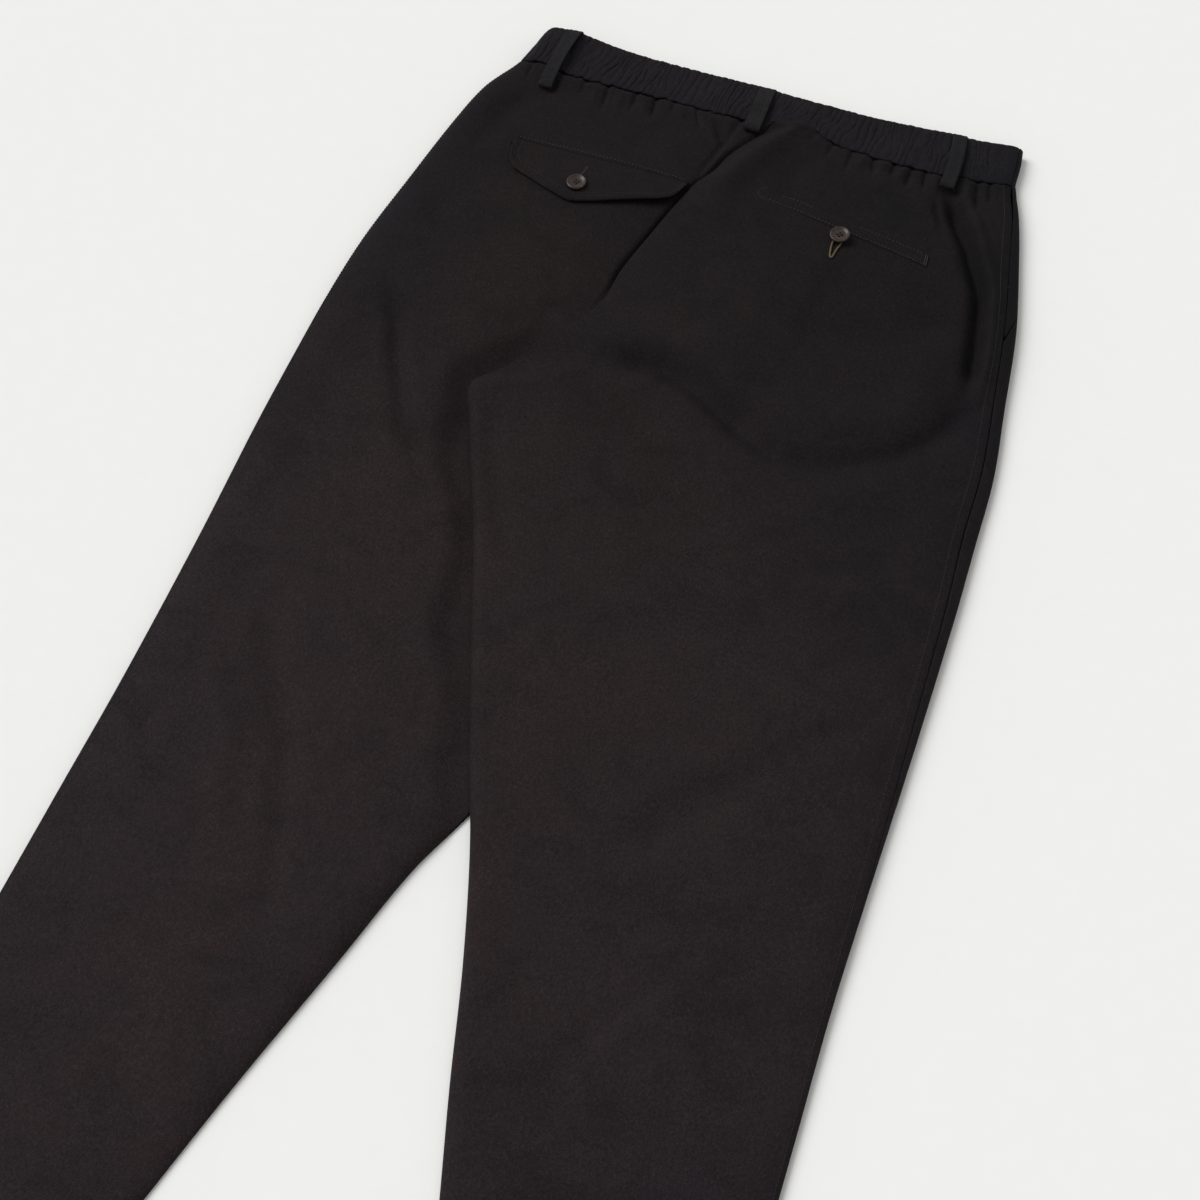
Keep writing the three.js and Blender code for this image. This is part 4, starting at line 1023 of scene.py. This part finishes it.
def tube(name, rings):
    """A closed tube through rings of points, in metres."""
    index = np.arange(rings.shape[0] * rings.shape[1]).reshape(rings.shape[:2])
    piece = new_piece(name, rings.reshape(-1, 3).tolist(), ring_faces(index))
    bm = bmesh.new()
    bm.from_mesh(piece.data)
    bmesh.ops.recalc_face_normals(bm, faces=bm.faces)
    bm.to_mesh(piece.data)
    bm.free()
    return piece


def loop_at(route, t):
    """How far across the loop's middle is at t of its way: its start, lean and bow."""
    start, lean, bow = route
    return start + lean * t + bow * np.sin(math.pi * t)


def strap(word, route, twist, profile, wide=LOOP_WIDE, doubled=0.0):
    """A strap swept along a profile of down and height: a flat bar with round edges."""
    line = resample(profile, 0.9)
    way = ways_along(line)
    normal = np.stack([-way[:, 1], way[:, 0]], axis=1)
    section = []
    for angle in np.linspace(0, 2 * math.pi, 40, endpoint=False):
        c, s = math.cos(angle), math.sin(angle)
        x = math.copysign(abs(c) ** 0.35, c) * wide / 2
        z = math.copysign(abs(s) ** 0.7, s) * LOOP_THICK / 2
        groove = 0.28 * bell(abs(x) - LOOP_ROW, 0.5) if s > 0 else 0.0
        section.append((x, z - groove))
    rings = []
    for i, ((d, h), (nd, nh)) in enumerate(zip(line, normal)):
        t = i / (len(line) - 1)
        tip = min(1.0, 0.72 + min(i, len(line) - 1 - i) * 0.2)
        second = doubled * float(ease(t - 0.55, 0.02))
        arch = twist * math.sin(math.pi * t)
        ring = []
        for x, z in section:
            rise = z * tip + (second if z > 0 else 0.0) + arch * (x / wide + 0.5)
            ring.append((loop_at(route, t) + x, -(d + nd * rise), h + nh * rise))
        rings.append(ring)
    piece = tube(f"{word}_belt_loop", in_frame(np.array(rings)))
    dress(piece, loop_twill, f"belt_loop_{word}")
    return piece


loop_twill = charcoal_twill(
    "loop_twill", (0.0122, 0.0109, 0.0114), (0.0183, 0.0158, 0.0167), (0.0261, 0.0222, 0.0235), wale=0.5
)


def loop_profile(across, tree, foot, stand):
    """The loop's way over the band's upper edge, down over the ripples and under at its foot."""
    def clear_of(tree, downs):
        spots = [on_cloth(tree, across + a, down) for a in (-4, 0, 4) for down in downs]
        return max(hit[0][2] * 1000 for hit in spots) + LOOP_THICK / 2 + 0.1

    top = float(band_top(across)) - 1.9
    high = clear_of(band_tree, [top + 3])
    low = clear_of(band_tree, [BAND_FOOT - 4, BAND_FOOT - 10])
    land = clear_of(tree, [foot, foot - 4])
    edge = top + 0.6
    points = [
        (edge, high - 7), (edge, high - 3.4), (edge + 0.8, high - 1.8), (top + 3.6, high - 0.5),
        (top + 9, high + stand * 0.6), (BAND_FOOT - 14, low + stand), (BAND_FOOT + 1, low + stand),
        (foot - 9, blend(land, low, 0.45) + 2.3), (foot - 3, land + 2.5), (foot, land + 2.0),
        (foot + 0.7, land + 0.9), (foot - 1.2, land - 0.4),
    ]
    many = np.linspace(0, len(points) - 1, 90)
    curve = np.stack([np.interp(many, np.arange(len(points)), column) for column in zip(*points)], axis=1)
    return smoothed(curve, 4)


# Each loop's way down (start, lean, bow) and how far down its foot is turned under
ROUTES = {"left": (-163.9, -3.7, 0.0), "centre": (-5.3, 3.2, 0.0), "right": (147.4, 6.4, 2.0)}
FEET = {"left": 73, "centre": 66, "right": 76}
loops = {
    "left": strap("left", ROUTES["left"], 2.2, loop_profile(-165, on_left, FEET["left"], 2.2)),
    "centre": strap(
        "centre", ROUTES["centre"], 1.0, loop_profile(-4, on_left, FEET["centre"], 1.8),
        wide=12.8, doubled=0.9,
    ),
    "right": strap("right", ROUTES["right"], 1.2, loop_profile(150, on_right, FEET["right"], 1.9)),
}
for word, loop in loops.items():
    tree = tree_of(loop)
    route, tacked = ROUTES[word], FEET[word] - 3
    head = float(band_top(route[0])) + 3
    spots = [(loop_at(route, t), blend(head, tacked, t)) for t in np.linspace(0, 0.94, 12)]
    rows = []
    for row_at in (-LOOP_ROW, LOOP_ROW):
        rows += seats_on(tree, [(a + row_at, d) for a, d in spots], pitch=2.6, lift=-0.05)
    end = route[0] + route[1] * 0.95
    rows += seats_on(tree, [(end - 3.6, tacked - 1.2), (end + 3.6, tacked - 1.2)], pitch=1.1, lift=0.0)
    stitch_bars(loop.name + "_stitches", rows, charcoal_thread, long=1.7, wide=0.36)

# Buttons: turned from a brown horn-like blank with a raised rim and a dished middle, four holes,
# sewn on with crossed thread.
BUTTON_RIM = [
    (0, 0), (5.2, 0), (6.6, 0.5), (7.35, 1.3), (7.5, 1.9), (7.3, 2.5), (6.8, 2.8), (6.3, 2.72), (5.7, 2.3),
    (5.0, 1.9), (4.0, 1.72), (0, 1.65),
]
HOLE_RADIUS, HOLE_OUT = 0.00085, 0.0019


def horn(name, dark, mid, pale):
    n = Nodes(name)
    place = n.add("TexCoord").outputs["Object"]
    streak = n.add("Mapping", Vector=place, Rotation=(0.0, 0.0, 0.5), Scale=(1.0, 4.5, 1.0))
    figure = n.add(
        "TexNoise", Vector=streak.outputs["Vector"], Scale=110.0, Detail=5.0, Roughness=0.6, Distortion=1.4
    )
    fleck = n.add("TexNoise", Vector=place, Scale=900.0, Detail=2.0)
    tone = n.ramp(figure.outputs["Fac"], [(0.3, dark), (0.52, mid), (0.72, pale)])
    tone = n.mix("MULTIPLY", 0.35, tone, fleck.outputs["Color"])
    bump = n.add("Bump", Strength=0.15, Distance=0.0001, Height=figure.outputs["Fac"])
    rough = n.span(fleck.outputs["Fac"], 0, 1, 0.24, 0.42)
    n.shade(Base_Color=tone, Roughness=rough, Specular_IOR_Level=0.32, Normal=bump.outputs["Normal"])
    n.shade(Coat_Weight=0.1, Coat_Roughness=0.25)
    return n.material


def four_hole_button(name, across, down, base, tilt, turn, node):
    """A button turned round its rim line, drilled, laid at its place and tilt, and sewn on."""
    rim = []
    for (r0, z0), (r1, z1) in zip(BUTTON_RIM[:-1], BUTTON_RIM[1:]):
        rim += [(blend(r0, r1, t), blend(z0, z1, t)) for t in (0, 0.5)]
    rim = rim[1:]
    around = 56
    angles = np.arange(around) * 2 * math.pi / around
    points = [(0, 0, 0)]
    for r, z in rim:
        points += [(r * math.cos(a) / 1000, r * math.sin(a) / 1000, z / 1000) for a in angles]
    points.append((0, 0, BUTTON_RIM[-1][1] / 1000))
    index = 1 + np.arange(len(rim) * around).reshape(-1, around)
    faces = ring_faces(index)[:-2]
    for this, after in zip(index.T.tolist(), np.roll(index, -1, axis=1).T.tolist()):
        faces += [(0, after[0], this[0]), (this[-1], after[-1], len(points) - 1)]
    piece = new_piece(name, points, faces)

    holes = [HOLE_OUT * np.array([math.cos(a), math.sin(a)]) for a in np.arange(4) * math.pi / 2 + turn]
    bm = bmesh.new()
    for hole in holes:
        made = bmesh.ops.create_cone(
            bm, cap_ends=True, segments=18, radius1=HOLE_RADIUS, radius2=HOLE_RADIUS, depth=0.008
        )
        bmesh.ops.translate(bm, verts=made["verts"], vec=(*hole, 0.0012))
    drill = new_piece(name + "_drill", [], [])
    bm.to_mesh(drill.data)
    bm.free()
    cut = piece.modifiers.new("holes", "BOOLEAN")
    cut.object, cut.operation, cut.solver = drill, "DIFFERENCE", "EXACT"
    bpy.context.view_layer.update()
    drilled = bpy.data.meshes.new_from_object(piece.evaluated_get(bpy.context.evaluated_depsgraph_get()))
    piece.modifiers.clear()
    piece.data = drilled
    bpy.data.objects.remove(drill, do_unlink=True)

    x, y = spot_at(across, down)
    lean_x, lean_y = tilt
    for vertex in drilled.vertices:
        vx, vy, vz = vertex.co
        vertex.co = (x + vx, y + vy, base / 1000 + vz + vx * lean_x + vy * lean_y)
    drilled.polygons.foreach_set("use_smooth", np.ones(len(drilled.polygons), bool))
    bm = bmesh.new()
    bm.from_mesh(drilled)
    for edge in bm.edges:
        edge.smooth = len(edge.link_faces) == 2 and edge.calc_face_angle(0) < 0.75
    bm.to_mesh(drilled)
    bm.free()
    dress(piece, dark_horn, node)

    crossed = []
    for layer, (one, other) in enumerate((holes[0::2], holes[1::2])):
        way = np.array([*(other - one), 0.0])
        beside = np.array([-way[1], way[0], 0]) / np.linalg.norm(way)
        middle = np.array([*((one + other) / 2 + (x, y)), base / 1000 + 0.00192 + 0.0001 * layer])
        for shift in (-0.00022, 0.00022):
            crossed.append((middle + beside * shift, way, np.array([0.0, 0.0, 1.0])))
    stitch_bars(name + "_thread", crossed, charcoal_thread, long=4.2, wide=0.48)


dark_horn = horn("dark_horn", (0.016, 0.010, 0.0085), (0.036, 0.020, 0.015), (0.074, 0.048, 0.039))
FLAP_BUTTON, WELT_BUTTON = (-109, 165), (94, 158)
flap_seat = cover(on_flap, *FLAP_BUTTON, 6, 0.5)
four_hole_button("left_pocket_button", *FLAP_BUTTON, flap_seat, (0.0, 0.03), 0.35, "flap_button")
welt_seat = max(cover(on_welt, *WELT_BUTTON, 6, 0.0), cover(on_right, *WELT_BUTTON, 6, 0.0)) + 2.9
four_hole_button("right_pocket_button", *WELT_BUTTON, welt_seat, (0.02, 0.04), 0.0, "welt_button")

# Buttonhole in the flap: a slit above the button, closed by two beads of thread.
hole_line = np.array([(-109.0, 156.5), (-107.2, 144.5)])
bead_way = (hole_line[1] - hole_line[0]) / run_of(hole_line)[-1]
bead_side = np.array([-bead_way[1], bead_way[0]])
beads = []
for side in (-1, 1):
    for spot in resample(hole_line, 0.62):
        at = spot + bead_side * side * 0.42
        hit = on_cloth(on_flap, *at)
        beads.append((hit[0] + hit[1] * 0.0001, np.array([bead_side[0], -bead_side[1], 0.0]), hit[1]))
stitch_bars("buttonhole", beads, worn_thread, long=0.75, wide=0.42)

# Thread loop that holds the welt's button: an olive cord whose two strands leave the welt under
# the button and meet in a point below it.
CORD = [
    (-3.2, 3), (-3.5, 7), (-3.0, 12), (-2.0, 18), (-1.0, 21.4), (-0.2, 22.4), (0.6, 21.4), (0.9, 18),
    (1.4, 12), (2.4, 7), (2.6, 3),
]
CORD_RADIUS = 0.00072


def twisted_cord(name, route):
    """A round cord along a route, with the ribs of its twist."""
    route = np.array(route)
    line = smoothed(walk(route, np.linspace(0, run_of(route)[-1], 90)), 6)
    way = ways_along(line)
    side = np.cross(way, np.array([0.0, 0.0, 1.0]))
    side /= np.linalg.norm(side, axis=1, keepdims=True)
    up = np.cross(side, way)
    around = np.arange(14)[None, :, None] * 2 * math.pi / 14
    strands = np.abs(np.sin(around + np.arange(len(line))[:, None, None] * 0.55))
    out = side[:, None] * np.cos(around) + up[:, None] * np.sin(around)
    return tube(name, line[:, None] + out * CORD_RADIUS * (0.86 + 0.2 * strands))


cord_route = []
for a, d in CORD:
    spot = (WELT_BUTTON[0] + a, WELT_BUTTON[1] + d)
    top = max(cover(on_welt, *spot, 1.0, 0.0), cover(on_right, *spot, 1.0, 0.0))
    cord_route.append(in_frame(np.array([spot[0], -spot[1], top + 0.85])))
olive_thread = sewing_thread("olive_thread", (0.098, 0.070, 0.028))
dress(twisted_cord("button_loop", cord_route), olive_thread, "thread_loop")

# The surface that they lie on: plain, pale and matt, under broad soft light from the lower left.
floor = new_piece("floor", [(-6, -6, 0), (6, -6, 0), (6, 6, 0), (-6, 6, 0)], [(0, 1, 2, 3)])
pale = Nodes("pale_board")
speckle = pale.add("TexNoise", Vector=pale.add("TexCoord").outputs["Object"], Scale=60.0, Detail=3.0)
tone = pale.ramp(speckle.outputs["Fac"], [(0.3, (0.868, 0.868, 0.850)), (0.7, (0.876, 0.876, 0.858))])
pale.shade(Base_Color=tone, Roughness=0.9, Specular_IOR_Level=0.1)
floor.data.materials.append(pale.material)
floor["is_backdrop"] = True

world = bpy.data.worlds.new("studio")
bpy.context.scene.world = world
world.use_nodes = True
sky = world.node_tree.nodes["Background"]
sky.inputs["Color"].default_value = (1.0, 0.995, 0.99, 1)
sky.inputs["Strength"].default_value = 0.52
key = bpy.data.lights.new("key", "SUN")
key.energy, key.angle = 2.0, math.radians(42)
key_light = bpy.data.objects.new("key", key)
bpy.context.scene.collection.objects.link(key_light)
key_light.rotation_euler = Vector((-0.8, 0.1, 0.9)).to_track_quat("Z", "Y").to_euler()

# Camera: 54 degrees above the surface, turned 19.3 degrees from the garment's length.
CAMERA_RAISED, CAMERA_TURNED = 54, 19.3
lens = bpy.data.cameras.new("camera")
lens.lens, lens.sensor_width, lens.sensor_fit = 88.82, 36.0, "HORIZONTAL"
lens.clip_end = 20
camera = bpy.data.objects.new("camera", lens)
bpy.context.scene.collection.objects.link(camera)
camera.location = (0.4092, -1.0835, 1.629)
camera.rotation_euler = (math.radians(90 - CAMERA_RAISED), 0, math.radians(CAMERA_TURNED))
bpy.context.scene.camera = camera
bpy.context.scene.view_settings.view_transform = "Standard"
bpy.context.scene.view_settings.look = "None"

{"cad": solid_box, "visual": [list(corner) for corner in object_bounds()]}
